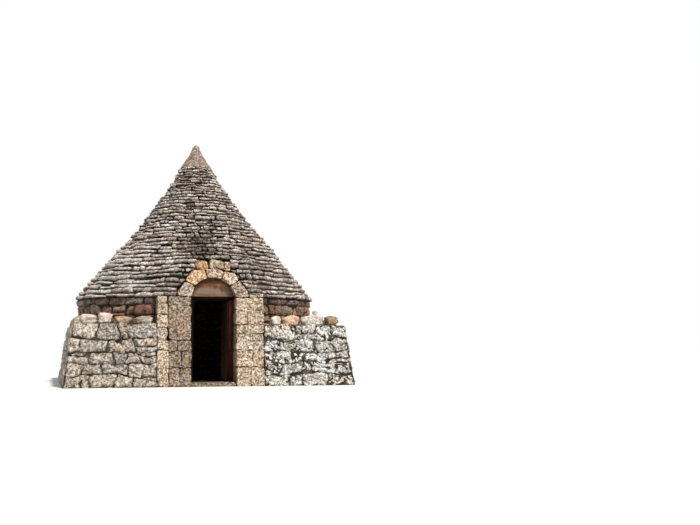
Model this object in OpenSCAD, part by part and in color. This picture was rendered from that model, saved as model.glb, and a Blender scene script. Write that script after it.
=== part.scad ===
// Trullo house in dry stone. A round room stands under a corbelled dome and a tall
// cone of slab courses. A square base block with leaning faces wraps the round wall.
// The arched doorway faces -Y, the origin is on the ground under the roof's tip, and
// sizes are in millimetres.

/* [Base block] */
// How far the base block reaches past the round wall at the ground
base_reach = 315; // [295:5:375]
// Height of the terrace on top of the base block
base_h = 1090; // [950:10:1200]
// How far the outer faces lean back, per unit of height
batter = 0.147; // [0.12:0.001:0.15]

/* [Round wall] */
// Outer diameter of the round wall
drum_d = 4550; // [4500:10:4600]
// Thickness of the round wall
wall_t = 855; // [800:5:900]
// Height of the wall, up to the underside of the eave
wall_h = 1600; // [1580:5:1650]

/* [Doorway] */
// Width of the doorway between its jambs
door_w = 800; // [760:10:840]
// How far the arch's centre lies below the eave
spring_drop = 50; // [30:5:80]
// Width of the left jamb
left_jamb_w = 400; // [340:5:420]
// Width of the right jamb
right_jamb_w = 510; // [460:5:560]
// Width of the narrow pillar on the left
pillar_w = 180; // [140:5:200]
// Width of the deep joint between the pillar and the left jamb
deep_joint = 20; // [10:1:30]
// Height of the threshold stone
threshold_h = 70; // [40:5:100]
// Width of the drafted margin round a dressed face
margin_w = 14; // [6:1:20]
// Depth of the drafted margin
margin_d = 18; // [8:1:30]

/* [Roof] */
// How far the eave course reaches past the round wall
eave_reach = 85; // [65:5:120]
// Diameter of the topmost slab course
top_course_d = 700; // [640:10:760]
// Height of all slab courses together
courses_h = 2720; // [2600:10:2800]
// Height of the lowest slab course
first_course_h = 90; // [80:1:100]
// How far the flank sags inside a straight line
flank_sag = 50; // [0:5:80]
// Height of the mortar cap
cap_h = 490; // [400:10:560]
// Diameter of the mortar cap at its foot
cap_d = 650; // [560:10:690]
// Diameter of the blunt tip
tip_d = 130; // [90:5:180]
// How far the hood's slabs stand back from the portal's face
hood_setback = 40; // [20:5:60]
// Half the width of the hood at the eave
hood_foot_w = 1010; // [980:5:1060]
// Half the width of the hood at its top
hood_head_w = 430; // [380:5:500]
// Radius of the hood's corners at the eave
hood_foot_r = 160; // [100:5:200]
// Radius of the hood's corners at its top
hood_head_r = 370; // [300:5:378]
// How deep the hood's sides bite into the cone's courses
hood_bite = 40; // [30:5:60]

/* [Dome] */
// Thickness of the dome's foot on the wall
dome_foot_t = 280; // [240:5:320]
// Thickness of the dome's head
dome_head_t = 430; // [360:5:460]
// Thickness of the capstone that closes the dome
capstone_t = 80; // [60:5:100]
// How full the dome's curve is
dome_power = 1.3; // [1.25:0.01:1.4]

/* [Door frame] */
// Depth of the reveal in front of the frame at the arch's centre
reveal_d = 180; // [150:5:200]
// Depth of the posts and the transom
frame_d = 70; // [60:5:80]
// Width of the right post, which carries the hinges
right_post_w = 85; // [75:1:95]
// Width of the left post
left_post_w = 70; // [60:1:80]
// Height of the transom
transom_h = 65; // [50:1:75]
// Height of the lower board in the arch
lower_board_h = 175; // [140:5:200]
// Thickness of the boards in the arch
board_t = 28; // [20:1:35]

/* [Door leaf] */
// Thickness of the planks
plank_t = 26; // [20:1:30]
// Thickness of the ledges across the planks
ledge_t = 22; // [16:1:28]
// Height of a ledge
ledge_h = 110; // [90:5:130]
// Number of planks
plank_n = 5; // [4:1:6]
// Gap between planks
plank_gap = 3; // [2:0.5:5]
// Overlap of the leaf on the left post
leaf_lap = 15; // [10:1:25]
// Running gap round the leaf
leaf_gap = 15; // [10:1:20]
// Height of the lower strap hinge above the threshold
low_hinge_z = 230; // [180:5:300]
// Height of the upper strap hinge below the transom
high_hinge_z = 275; // [200:5:320]
// Length of a strap along the leaf
strap_l = 520; // [400:10:600]
// Height of a strap
strap_h = 40; // [30:1:50]
// Thickness of a strap
strap_t = 5; // [4:0.5:7]
// Diameter of the hinge pin
pin_d = 14; // [10:1:16]

/* [Hidden] */

$fn = 240;
// Gap in a closed joint between two pieces
joint = 0.4;
// Running clearance round a hinge pin
pin_clearance = 0.1;
// Reach of a cut past the face it goes through
past = 50;

base_w = drum_d + 2 * base_reach;
eave_d = drum_d + 2 * eave_reach;
spring_z = wall_h - spring_drop;
drum_r = drum_d / 2;
room_r = drum_r - wall_t;
arch_r = door_w / 2;
terrace_half = base_w / 2 - batter * base_h;
jamb_left_x = -arch_r - left_jamb_w;
pillar_left_x = jamb_left_x - deep_joint - pillar_w;
jamb_right_x = arch_r + right_jamb_w;

// The courses: their number, the bands they are grouped in, and the hood
course_n = 37;
portal_n = 8;
hood_n = 13;
band_two_n = 16;
band_three_n = 23;
dome_n = 30;
hood_flat_n = 5;
hood_lap = 30;
last_course_h = 2 * courses_h / course_n - first_course_h;

// Underside of a course: the heights shrink evenly towards the tip
function course_z(i) =
    wall_h + i * first_course_h
    + (last_course_h - first_course_h) * i * (i - 1) / (2 * (course_n - 1));
// Share of the flank's height that a course's upper edge has reached
function course_share(i) =
    (course_z(i + 1) - course_z(1)) / (course_z(course_n) - course_z(1));
// Radius of a course: a straight line from eave to tip, less a shallow sine
function course_r(i) =
    eave_d / 2 + (top_course_d - eave_d) / 2 * course_share(i)
    - flank_sag * sin(180 * course_share(i));
// Place of the leaning front face at a height
function front_y(z) = batter * z - base_w / 2;

portal_top = course_z(portal_n);
dome_top = course_z(dome_n);
roof_top = course_z(course_n);
// The jambs end where the pillar's outer side meets the round wall
jamb_back = -sqrt(drum_r * drum_r - pillar_left_x * pillar_left_x);
// The arch stones reach under the course above them
arch_tail = 60;
arch_back = arch_tail - course_r(portal_n - 1);

// Everything behind the leaning front face, set back by a distance
module behind_front(setback) {
    top = roof_top + past;
    translate([-base_w, 0, 0])
        rotate([90, 0, 90])
        linear_extrude(2 * base_w)
        polygon([[front_y(0) + setback, 0], [base_w, 0],
            [base_w, top], [front_y(top) + setback, top]]);
}

// A prism along Y, from its back plane to the front face less a setback
module front_prism(back, setback) {
    intersection() {
        translate([0, back, 0])
            rotate([90, 0, 0])
            linear_extrude(base_w / 2 + back + past)
            children();
        behind_front(setback);
    }
}

// The doorway's outline: two upright sides under a half circle
module doorway_outline(shrink = 0) {
    translate([shrink - arch_r, 0])
        square([door_w - 2 * shrink, spring_z]);
    translate([0, spring_z])
        circle(arch_r - shrink);
}

// The passage through the wall, from the front to the room
module passage() {
    translate([0, -room_r / 2, 0])
        rotate([90, 0, 0])
        linear_extrude(base_w / 2)
        doorway_outline();
}

// Dressed stones

// A dressed block: its body, and a proud face inside a drafted margin
module dressed_block(x0, x1, z0, z1) {
    g = joint / 2;
    front_prism(jamb_back, margin_d)
        translate([x0 + g, z0 == 0 ? 0 : z0 + g])
        square([x1 - x0 - 2 * g, z1 - z0 - (z0 == 0 ? 1 : 2) * g]);
    front_prism(jamb_back, 0)
        translate([x0 + margin_w, z0 + margin_w])
        square([x1 - x0 - 2 * margin_w, z1 - z0 - 2 * margin_w]);
}

// Rows of a jamb, from the ground up: top of the row as a share of the wall's height,
// and the place of its upright joint as a share of the jamb's width, 0 for one block
left_rows = [[0.206, 0.525], [0.3875, 0.4375], [0.5125, 0.6175], [0.9, 0], [1, 0]];
right_rows = [[0.2125, 0.51], [0.4, 0.588], [0.5875, 0.588], [0.6875, 0], [0.856, 0.4255], [1, 0]];
pillar_rows = [0.206, 0.4, 0.5125, 0.65, 0.797, 0.925, 1];

function row_foot(rows, i) = i == 0 ? 0 : rows[i - 1][0];

// A jamb on the +X side of the opening
module jamb(rows, width) {
    for (i = [0:len(rows) - 1]) {
        foot = wall_h * row_foot(rows, i);
        head = wall_h * rows[i][0];
        split = width * rows[i][1];
        if (split > 0) {
            dressed_block(arch_r, arch_r + split, foot, head);
            dressed_block(arch_r + split, arch_r + width, foot, head);
        } else {
            dressed_block(arch_r, arch_r + width, foot, head);
        }
    }
}

module left_jamb() {
    color("#b39a78") mirror([1, 0, 0]) jamb(left_rows, left_jamb_w);
}

module right_jamb() {
    color("#b79f80") jamb(right_rows, right_jamb_w);
}

// The pillar's lower blocks close the deep joint, which starts beside the tall block
module left_pillar() {
    color("#a8967c")
        for (i = [0:len(pillar_rows) - 1]) {
            foot = i == 0 ? 0 : pillar_rows[i - 1];
            inner = pillar_rows[i] > left_rows[2][0] ? deep_joint : 0;
            dressed_block(pillar_left_x, jamb_left_x - inner,
                wall_h * foot, wall_h * pillar_rows[i]);
        }
}

module threshold() {
    color("#a49a88")
        translate([joint - arch_r, 0, 0])
        front_space_box();
}

module front_space_box() {
    intersection() {
        translate([0, -base_w / 2, 0])
            cube([door_w - 2 * joint, base_w / 2 + jamb_back, threshold_h]);
        behind_front(margin_d);
    }
}

// The arch

// Voussoirs from right to left: start angle, end angle, and how far the stone reaches
// from the centre at its start, middle and end, as shares of the arch's radius
right_springer_cut = [-12, 38, 1.6, 1.6425, 1.5];
right_voussoir_cut = [38, 68, 1.5, 1.5875, 1.4125];
keystone_cut = [68, 104, 1.4125, 1.455, 1.4];
left_voussoir_cut = [104, 145, 1.4, 1.62, 1.5];
left_springer_cut = [145, 192, 1.5, 1.625, 1.5675];
voussoir_cuts = [right_springer_cut, right_voussoir_cut, keystone_cut,
    left_voussoir_cut, left_springer_cut];

function on_arch(r, a) = [r * cos(a), spring_z + r * sin(a)];
// The angle that a distance takes up on the arch
function arch_angle(d) = d / arch_r * 180 / PI;

// A voussoir's front outline, inset on every side and cut off level at its foot
module voussoir_outline(cut, inset, foot) {
    a0 = cut[0] + arch_angle(inset);
    a1 = cut[1] - arch_angle(inset);
    root = arch_r * 0.8;
    difference() {
        polygon([on_arch(root, a0), on_arch(arch_r * cut[2] - inset, a0),
            on_arch(arch_r * cut[3] - inset, (a0 + a1) / 2),
            on_arch(arch_r * cut[4] - inset, a1), on_arch(root, a1)]);
        translate([0, spring_z])
            circle(arch_r + max(inset - joint, 0));
        translate([-base_w / 2, 0])
            square([base_w, foot]);
    }
}

module voussoir(cut) {
    front_prism(arch_back, margin_d) voussoir_outline(cut, joint / 2, wall_h);
    front_prism(arch_back, 0) voussoir_outline(cut, margin_w, wall_h + margin_w);
}

module left_springer() { color("#a9a294") voussoir(left_springer_cut); }
module left_voussoir() { color("#c79a5e") voussoir(left_voussoir_cut); }
module keystone() { color("#c6a878") voussoir(keystone_cut); }
module right_voussoir() { color("#b8a187") voussoir(right_voussoir_cut); }
module right_springer() { color("#b5a184") voussoir(right_springer_cut); }

// Stones above the arch: left and right sides of each, as shares of the arch's radius
over_arch_spans = [[-0.7825, -0.2025], [-0.2025, 0.5175], [0.5175, 0.835]];

// Outline of one stone above the arch, cut to the stones that it sits on
module over_arch_outline(span, inset) {
    difference() {
        translate([arch_r * span[0] + inset, spring_z + arch_r])
            square([arch_r * (span[1] - span[0]) - 2 * inset,
                portal_top - spring_z - arch_r - inset]);
        for (cut = voussoir_cuts)
            voussoir_outline(cut, -inset, wall_h);
    }
}

module over_arch_stones() {
    color("#b08e62")
        for (span = over_arch_spans) {
            front_prism(arch_back, margin_d) over_arch_outline(span, joint / 2);
            front_prism(arch_back, 0) over_arch_outline(span, margin_w);
        }
}

// The room that the arch stones take up in the roof's courses
module arch_stones_cut() {
    translate([0, arch_back, 0])
        rotate([90, 0, 0])
        linear_extrude(base_w / 2)
        union() {
            for (cut = voussoir_cuts)
                voussoir_outline(cut, -joint, wall_h - past);
            translate([arch_r * over_arch_spans[0][0] - joint, spring_z + arch_r])
                square([arch_r * (over_arch_spans[2][1] - over_arch_spans[0][0]) + 2 * joint,
                    portal_top + joint - spring_z - arch_r]);
        }
}

// The pale slab that lies on the right jamb beside the springer
slab_aside = 20;
slab_overhang = 10;
slab_x0 = arch_r * right_springer_cut[2] + slab_aside;
slab_x1 = jamb_right_x + slab_overhang;
slab_h = 57;
slab_depth = 500;
slab_proud = 15;

module pillar_slab_box(grow) {
    translate([slab_x0 - grow, front_y(wall_h) - slab_proud - grow, wall_h])
        cube([slab_x1 - slab_x0 + 2 * grow, slab_depth, slab_h + grow]);
}

module pillar_slab() {
    color("#c9bfa8")
        difference() {
            pillar_slab_box(0);
            cylinder(h = portal_top, r = eave_d / 2 + joint);
        }
}

// Base block and its coping

// The whole base block, leaning on its four sides
module base_block() {
    intersection() {
        translate([-base_w / 2, -base_w / 2, 0])
            cube([base_w, base_w, base_h]);
        behind_front(0);
        rotate(90) behind_front(0);
        rotate(180) behind_front(0);
        rotate(270) behind_front(0);
    }
}

// The part of the base block over a rectangle, outside the round wall
module base_part(x0, x1, y0, y1) {
    color("#a19683")
        difference() {
            intersection() {
                base_block();
                translate([x0, y0, 0])
                    cube([x1 - x0, y1 - y0, base_h]);
            }
            translate([0, 0, -past])
                cylinder(h = base_h + 2 * past, r = drum_r + joint);
        }
}

// Where the base block's sides meet its front and back pieces
half_w = base_w / 2;
base_cut = round(half_w * 0.656);

module base_front_left() { base_part(-half_w, pillar_left_x, -half_w, -base_cut); }
module base_front_right() { base_part(jamb_right_x, half_w, -half_w, -base_cut); }
module base_left() { base_part(-half_w, 0, -base_cut, base_cut); }
module base_right() { base_part(0, half_w, -base_cut, base_cut); }
module base_back() { base_part(-half_w, half_w, base_cut, half_w); }

// A loose stone: its plan and its face are rectangles with cut corners
module loose_stone(length, depth, height) {
    c = min(depth, height) * 0.24;
    intersection() {
        linear_extrude(height) cut_corners(length, depth, c);
        translate([0, depth / 2, 0])
            rotate([90, 0, 0])
            linear_extrude(depth)
            translate([0, height / 2])
            cut_corners(length, height, c);
    }
}

module cut_corners(w, h, c) {
    x = w / 2;
    y = h / 2;
    polygon([[c - x, -y], [x - c, -y], [x, c - y], [x, y - c],
        [x - c, y], [c - x, y], [-x, y - c], [-x, c - y]]);
}

// How far the loose stones lie behind the terrace's edge
coping_setback = 15;

// The terrace's front edge, from its corner to the portal, on either side
left_run = terrace_half + pillar_left_x;
right_run = terrace_half - jamb_right_x;
// Loose stones along it: distance from the corner and length as shares of the run, then
// depth and height
coping_left = [[0.832, 0.231, 240, 150], [0.594, 0.203, 250, 160],
    [0.385, 0.182, 240, 210], [0.175, 0.203, 230, 190]];
coping_right = [[0.838, 0.118, 240, 170], [0.641, 0.224, 260, 190],
    [0.375, 0.283, 250, 200], [0.143, 0.164, 240, 175]];

// A row of loose stones on the left (-1) or the right (1) of the door
module front_row(stones, way, run) {
    for (s = stones)
        translate([way * (terrace_half - run * s[0]), s[2] / 2 + coping_setback - terrace_half,
            base_h])
            loose_stone(run * s[1], s[2], s[3]);
}

module coping_front_left() { color("#b7a794") front_row(coping_left, -1, left_run); }

// The small stone that lies on the third one: its sizes, and its place from that one
small_stone = [95, 100, 90];
small_stone_aside = 45;
small_stone_behind = 145;

module coping_front_right() {
    color("#bdb3a2") {
        front_row(coping_right, 1, right_run);
        translate([terrace_half - right_run * coping_right[2][0] + small_stone_aside,
            small_stone_behind - terrace_half, base_h + coping_right[2][3]])
            loose_stone(small_stone[0], small_stone[1], small_stone[2]);
    }
}

// Loose stones at the corners of the two sides and the back, where the terrace is wide
corner_stone_pitch = 350;
corner_run = 1500;
corner_stone_l = 300;
corner_stone_d = 230;
corner_stone_h = 150;
corner_stones_n = 4;

module coping_corners() {
    color("#a89d8b")
        for (side = [90, 180, 270], way = [-1, 1], i = [0:corner_stones_n - 1]) {
            length = corner_stone_l * (1 + 0.08 * sin(130 * i + side));
            height = corner_stone_h * (1 + 0.2 * cos(95 * i + side));
            rotate(side)
                translate([way * (terrace_half - corner_run + i * corner_stone_pitch),
                    corner_stone_d / 2 + coping_setback - terrace_half, base_h])
                loose_stone(length, corner_stone_d, height);
        }
}

// Round wall

// One sixth of the round wall, less the doorway and the portal in front of it
seam = joint / room_r * 180 / PI;

module wall_part(start) {
    color("#9a7f6b")
        difference() {
            rotate(start + seam / 2)
                rotate_extrude(angle = 60 - seam)
                translate([room_r, 0])
                square([wall_t, wall_h - joint]);
            passage();
            translate([pillar_left_x, -half_w, -past])
                cube([jamb_right_x - pillar_left_x, half_w + jamb_back + joint,
                    wall_h + 2 * past]);
        }
}

module wall_front_right() { wall_part(-90); }
module wall_right() { wall_part(-30); }
module wall_back_right() { wall_part(30); }
module wall_back_left() { wall_part(90); }
module wall_left() { wall_part(150); }
module wall_front_left() { wall_part(210); }

// Roof

// Stepped outline of the courses from one to another, from the axis out
function course_steps(first, last) =
    [for (i = [first:last - 1]) each [[course_r(i), course_z(i)], [course_r(i), course_z(i + 1)]]];

// The dome's outer face is a straight cone
dome_foot_r = room_r + dome_foot_t;

module dome_envelope(grow) {
    rotate_extrude()
        polygon([[0, wall_h - past], [dome_foot_r + grow, wall_h - past],
            [dome_foot_r + grow, wall_h], [dome_head_t + grow, dome_top], [0, dome_top]]);
}

// A band of slab courses as one stepped ring round the dome
module course_band(first, last) {
    difference() {
        rotate_extrude()
            polygon(concat([[0, course_z(first)]], course_steps(first, last),
                [[0, course_z(last)]]));
        dome_envelope(joint);
    }
}

module eave_courses() {
    color("#8d8576")
        difference() {
            course_band(0, portal_n);
            arch_stones_cut();
            passage();
        }
}

module lower_courses() { color("#918a7c") course_band(portal_n, band_two_n); }
module middle_courses() { color("#968f82") course_band(band_two_n, band_three_n); }
module upper_courses() { color("#9a9487") course_band(band_three_n, dome_n); }

module top_courses() {
    color("#9e988b")
        rotate_extrude()
        polygon(concat([[0, dome_top]], course_steps(dome_n, course_n), [[0, roof_top]]));
}

// The cap: an upright skirt, a straight flank, and a tip rounded with a quarter circle
cap_skirt_h = 60;
cap_skirt_lean = 12;

module mortar_cap() {
    tip_r = tip_d / 2;
    color("#c2a98b")
        rotate_extrude()
        polygon(concat([[0, roof_top], [cap_d / 2, roof_top],
            [cap_d / 2 - cap_skirt_lean, roof_top + cap_skirt_h]],
            [for (a = [20:10:90]) [tip_r * cos(a), roof_top + cap_h - tip_r * (1 - sin(a))]]));
}

// The hood

// How far the hood's front lies from the axis at a course: along the portal's face up
// to the arch stones' top, then sloping back until it lies a little past the cone
function hood_front(i) =
    i < portal_n ? -front_y(course_z(i + 1)) - hood_setback
    : hood_front(portal_n - 1)
        + (course_r(hood_n - 2) + hood_lap - hood_front(portal_n - 1))
        * (i - portal_n + 1) / (hood_n - portal_n);
// Share of the hood's height at a course
function hood_share(i) = i / (hood_n - 1);
function hood_half(i) = hood_foot_w + (hood_head_w - hood_foot_w) * hood_share(i);
function hood_corner(i) = hood_foot_r + (hood_head_r - hood_foot_r) * hood_share(i);

// Which way a hood course's sides face: they are tangents to a circle inside the cone's
// course and to the round front corner, whose middle is (x, y)
function hood_lean(x, y, c, r) = atan2(y, x) + acos((r - c) / norm([x, y]));
// Right side of a hood course, from the cone to the front, its corner in short flats
function hood_edge(x, y, c, r, lean) = concat([[r * cos(lean), r * sin(lean)]],
    [for (k = [0:hood_flat_n]) let (a = lean - (90 + lean) * k / hood_flat_n)
        [x + c * cos(a), y + c * sin(a)]]);

// One course of the hood in plan: a straight front with round corners
module hood_plan(half, front, c, r) {
    edge = hood_edge(half - c, c - front, c, r, hood_lean(half - c, c - front, c, r));
    polygon(concat(edge, [for (k = [len(edge) - 1:-1:0]) [-edge[k][0], edge[k][1]]]));
}

// A hood slab overlaps the next one a little, so that the courses are one mass
module hood_slab(i) {
    h = course_z(i + 1) - course_z(i);
    translate([0, 0, course_z(i)])
        difference() {
            linear_extrude(h + joint / 2)
                hood_plan(hood_half(i), hood_front(i), hood_corner(i), course_r(i) - hood_bite);
            translate([0, 0, -past])
                cylinder(h = h + 2 * past, r = course_r(i) + joint);
        }
}

module hood_courses() {
    color("#87806f")
        difference() {
            for (i = [0:hood_n - 1])
                hood_slab(i);
            arch_stones_cut();
            passage();
            pillar_slab_box(joint);
        }
}

// The dome

corbel_n = 13;
corbel_low_n = 6;
corbel_high_n = 10;
middle_parts_n = 16;
upper_parts_n = 12;
corbel_h = (dome_top - capstone_t - wall_h) / corbel_n;

// Radius inside a corbelled ring: a power curve that closes at the dome's top
function corbel_r(i) =
    room_r * (1 - pow(i * corbel_h / (dome_top - wall_h), dome_power));

function corbel_z(i) = wall_h + i * corbel_h;

// Stepped inner outline of the rings from one to another, from the top down
function corbel_steps(first, last) =
    [for (i = [last - 1:-1:first]) each concat([[corbel_r(i), corbel_z(i)]],
        i > first ? [[corbel_r(i - 1), corbel_z(i)]] : [])];

function dome_out(z) =
    dome_foot_r + (dome_head_t - dome_foot_r) * (z - wall_h) / (dome_top - wall_h);

// Section of a band of rings, with an open joint over it
module dome_section(first, last) {
    z0 = corbel_z(first);
    z1 = corbel_z(last) - joint;
    polygon(concat([[dome_out(z0), z0], [dome_out(z1), z1], [corbel_r(last - 1), z1]],
        corbel_steps(first, last)));
}

// A band of rings laid in equal parts, side by side round the dome
module dome_parts(first, last, number) {
    gap = joint / corbel_r(last - 1) * 180 / PI;
    for (k = [0:number - 1])
        rotate(k * 360 / number + gap / 2)
            rotate_extrude(angle = 360 / number - gap)
            dome_section(first, last);
}

module dome_lower() {
    color("#a79c8a")
        difference() {
            rotate_extrude()
                dome_section(0, corbel_low_n);
            passage();
        }
}

module dome_middle() { color("#aaa08d") dome_parts(corbel_low_n, corbel_high_n, middle_parts_n); }

// The upper rings are laid one by one
module dome_upper() {
    color("#aca18f")
        for (i = [corbel_high_n:corbel_n - 1])
            dome_parts(i, i + 1, upper_parts_n);
}

module dome_capstone() {
    color("#b0a593")
        translate([0, 0, dome_top - capstone_t])
        cylinder(h = capstone_t, r1 = dome_out(dome_top - capstone_t), r2 = dome_out(dome_top));
}

// Door frame

transom_drop = 5;
frame_front = front_y(spring_z) + reveal_d;
frame_back = frame_front + frame_d;
transom_z = spring_z - transom_drop;
board_z = transom_z + transom_h;

// A flat wooden piece that fits into the doorway's outline
module frame_piece(x0, x1, z0, z1, depth) {
    translate([0, frame_front + depth, 0])
        rotate([90, 0, 0])
        linear_extrude(depth)
        intersection() {
            translate([x0, z0])
                square([x1 - x0, z1 - z0]);
            doorway_outline(joint);
        }
}

module left_post() {
    color("#6b4a38") frame_piece(-arch_r, left_post_w - arch_r, threshold_h, transom_z, frame_d);
}

module right_post() {
    color("#70503c") frame_piece(arch_r - right_post_w, arch_r, threshold_h, transom_z, frame_d);
}

module transom() {
    color("#5a2f26") frame_piece(-arch_r, arch_r, transom_z, board_z, frame_d);
}

module tympanum_lower_board() {
    color("#9a8170") frame_piece(-arch_r, arch_r, board_z, board_z + lower_board_h, board_t);
}

module tympanum_upper_board() {
    color("#a4754e")
        frame_piece(-arch_r, arch_r, board_z + lower_board_h + joint,
            spring_z + arch_r, board_t);
}

// Door leaf, drawn standing open, square to the front

stop_gap = 5;
pin_back = 24;
hinge_inset = 41;
eye_wall = 6;
pin_tip = 12;
leaf_t = plank_t + ledge_t;
// The hinge line: behind the right post, in the straps' plane
hinge_x = arch_r - right_post_w + hinge_inset;
hinge_y = frame_back + stop_gap + leaf_t + strap_t / 2;
eye_r = pin_d / 2 + eye_wall;
leaf_w = hinge_x + arch_r - left_post_w + leaf_lap - pin_back;
leaf_foot = threshold_h + leaf_gap;
leaf_head = transom_z - leaf_gap;
low_hinge = threshold_h + low_hinge_z;
high_hinge = transom_z - high_hinge_z;
mid_ledge = (low_hinge + high_hinge) / 2;
plank_w = (leaf_w - (plank_n - 1) * plank_gap) / plank_n;

// Place of a thing on the open leaf: along it from the hinge line, and up
module on_leaf(along, up) {
    translate([hinge_x - strap_t / 2, hinge_y + along, up])
        children();
}

module door_planks() {
    color("#6e4c38")
        for (i = [0:plank_n - 1])
            on_leaf(pin_back + i * (plank_w + plank_gap), leaf_foot)
                translate([-leaf_t, 0, 0])
                cube([plank_t, plank_w, leaf_head - leaf_foot]);
}

module door_ledges() {
    color("#644433")
        for (z = [low_hinge, mid_ledge, high_hinge])
            on_leaf(pin_back, z - ledge_h / 2)
                translate([-ledge_t, 0, 0])
                cube([ledge_t, leaf_w, ledge_h]);
}

// A strap with its eye round the pin
module strap_hinges() {
    color("#3f3833")
        for (z = [low_hinge, high_hinge])
            difference() {
                union() {
                    on_leaf(0, z - strap_h / 2)
                        cube([strap_t, strap_l, strap_h]);
                    translate([hinge_x, hinge_y, z - strap_h / 2])
                        cylinder(h = strap_h, r = eye_r);
                }
                translate([hinge_x, hinge_y, z - strap_h])
                    cylinder(h = 2 * strap_h, r = pin_d / 2 + pin_clearance);
            }
}

// Pins driven into the back of the right post, under the straps' eyes
module hinge_pintles() {
    color("#38322e")
        for (z = [low_hinge, high_hinge]) {
            seat = z - strap_h / 2 - joint;
            translate([hinge_x, hinge_y, seat - pin_d])
                cylinder(h = pin_d + strap_h + pin_tip, r = pin_d / 2);
            translate([hinge_x - pin_d / 2, frame_back, seat - pin_d])
                cube([pin_d, hinge_y - frame_back, pin_d]);
        }
}

base_front_left();
base_front_right();
base_left();
base_right();
base_back();
wall_front_left();
wall_front_right();
wall_left();
wall_right();
wall_back_left();
wall_back_right();
threshold();
left_pillar();
left_jamb();
right_jamb();
left_springer();
left_voussoir();
keystone();
right_voussoir();
right_springer();
over_arch_stones();
pillar_slab();
eave_courses();
lower_courses();
middle_courses();
upper_courses();
top_courses();
hood_courses();
mortar_cap();
dome_lower();
dome_middle();
dome_upper();
dome_capstone();
coping_front_left();
coping_front_right();
coping_corners();
left_post();
right_post();
transom();
tympanum_lower_board();
tympanum_upper_board();
hinge_pintles();
door_planks();
door_ledges();
strap_hinges();
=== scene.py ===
import bpy
import math
import numpy as np
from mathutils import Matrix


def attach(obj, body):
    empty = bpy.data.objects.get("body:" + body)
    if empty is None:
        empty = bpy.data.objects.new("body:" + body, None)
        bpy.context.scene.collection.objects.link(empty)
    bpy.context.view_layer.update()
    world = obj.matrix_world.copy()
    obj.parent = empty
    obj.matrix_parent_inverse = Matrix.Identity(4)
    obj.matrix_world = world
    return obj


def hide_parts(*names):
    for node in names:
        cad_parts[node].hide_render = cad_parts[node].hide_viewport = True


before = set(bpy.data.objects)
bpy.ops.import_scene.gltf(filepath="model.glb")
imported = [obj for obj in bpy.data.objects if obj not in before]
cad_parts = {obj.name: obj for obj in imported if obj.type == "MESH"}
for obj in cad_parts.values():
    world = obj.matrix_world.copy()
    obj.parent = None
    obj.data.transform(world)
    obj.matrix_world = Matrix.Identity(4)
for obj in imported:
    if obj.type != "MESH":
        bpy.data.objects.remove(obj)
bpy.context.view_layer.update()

# Sizes of the house in metres. The front is the -Y side.
house = {
    "baseHalf": 2.59,        # half the base block's width at the ground
    "baseTop": 1.09,         # height of the terrace
    "batter": 0.147,         # how far the faces lean back, per metre of height
    "drumR": 2.275,          # outer radius of the round wall
    "wallTop": 1.6,          # underside of the eave
    "archR": 0.4,            # radius of the doorway's arch
    "springZ": 1.55,         # height of the arch's centre
    "jambLeft": -0.8,        # outer side of the left jamb
    "jambRight": 0.91,       # outer side of the right jamb
    "pillarLeft": -1.0,      # outer side of the narrow pillar
    "deepJoint": 0.02,       # open joint beside the pillar
    "thresholdTop": 0.07,
}
roof = {
    "courses": 37,           # slab courses from the eave to the cap
    "portalCourses": 8,      # courses beside the arch stones
    "hoodCourses": 13,       # courses that bulge forward over the portal
    "firstHeight": 0.09,     # height of the lowest course
    "height": 2.72,          # height of all courses
    "eaveR": 2.36,
    "topR": 0.35,
    "sag": 0.05,             # how far the flank sags inside a straight line
    "waist": 0.045,          # how far the upper part is drawn in
    "waistFrom": 0.38,       # share of the height at which the waist starts
    "lean": 0.03,            # how far the tip has leant to the left
    "bow": 0.035,            # how far the courses below the middle bow to the right
    "bowAt": 0.38,           # and at which share of the height,
    "bowSpread": 0.12,       # spread over this share
    "hoodSetback": 0.04,     # hood slabs behind the portal's face
    "hoodFootHalf": 1.01,    # half the hood's width at its foot
    "hoodHeadHalf": 0.43,    # and at its head
    "hoodFootCorner": 0.16,  # radius of its corners at the foot
    "hoodHeadCorner": 0.37,  # and at the head
    "hoodBite": 0.04,        # how far its sides reach into the cone
    "hoodLap": 0.03,         # how far its highest course stands before the cone
    "coreRecess": 0.085,     # dark packing behind the slabs' faces,
    "coreOpen": (1.9, 0.33),  # open over this height and within this way from the middle
    "bands": {"eaveSlabs": (0, 8), "lowerSlabs": (8, 16), "middleSlabs": (16, 23),
              "upperSlabs": (23, 30), "topSlabs": (30, 37)},
    "replaced": {"eaveSlabs": ("eave_courses", "hood_courses"), "lowerSlabs": ("lower_courses",),
                 "middleSlabs": ("middle_courses",), "upperSlabs": ("upper_courses",),
                 "topSlabs": ("top_courses",)},
}


# Colour written as on a screen, 0 to 255, turned linear.
def srgb(red, green, blue):
    c = np.array([red, green, blue]) / 255.0
    return np.where(c <= 0.04045, c / 12.92, ((c + 0.055) / 1.055) ** 2.4)


# Noise: a hash of whole numbers, blended smoothly between the corners of a cube.
def cornerHash(x, y, z, seed):
    h = (x * 374761393 + y * 668265263 + z * 2147483647 + seed * 974711) & 0xFFFFFFFF
    h = ((h ^ (h >> 13)) * 1274126177) & 0xFFFFFFFF
    h = ((h ^ (h >> 16)) * 2246822519) & 0xFFFFFFFF
    return ((h ^ (h >> 15)) & 0xFFFFFF) / float(0xFFFFFF)


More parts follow.
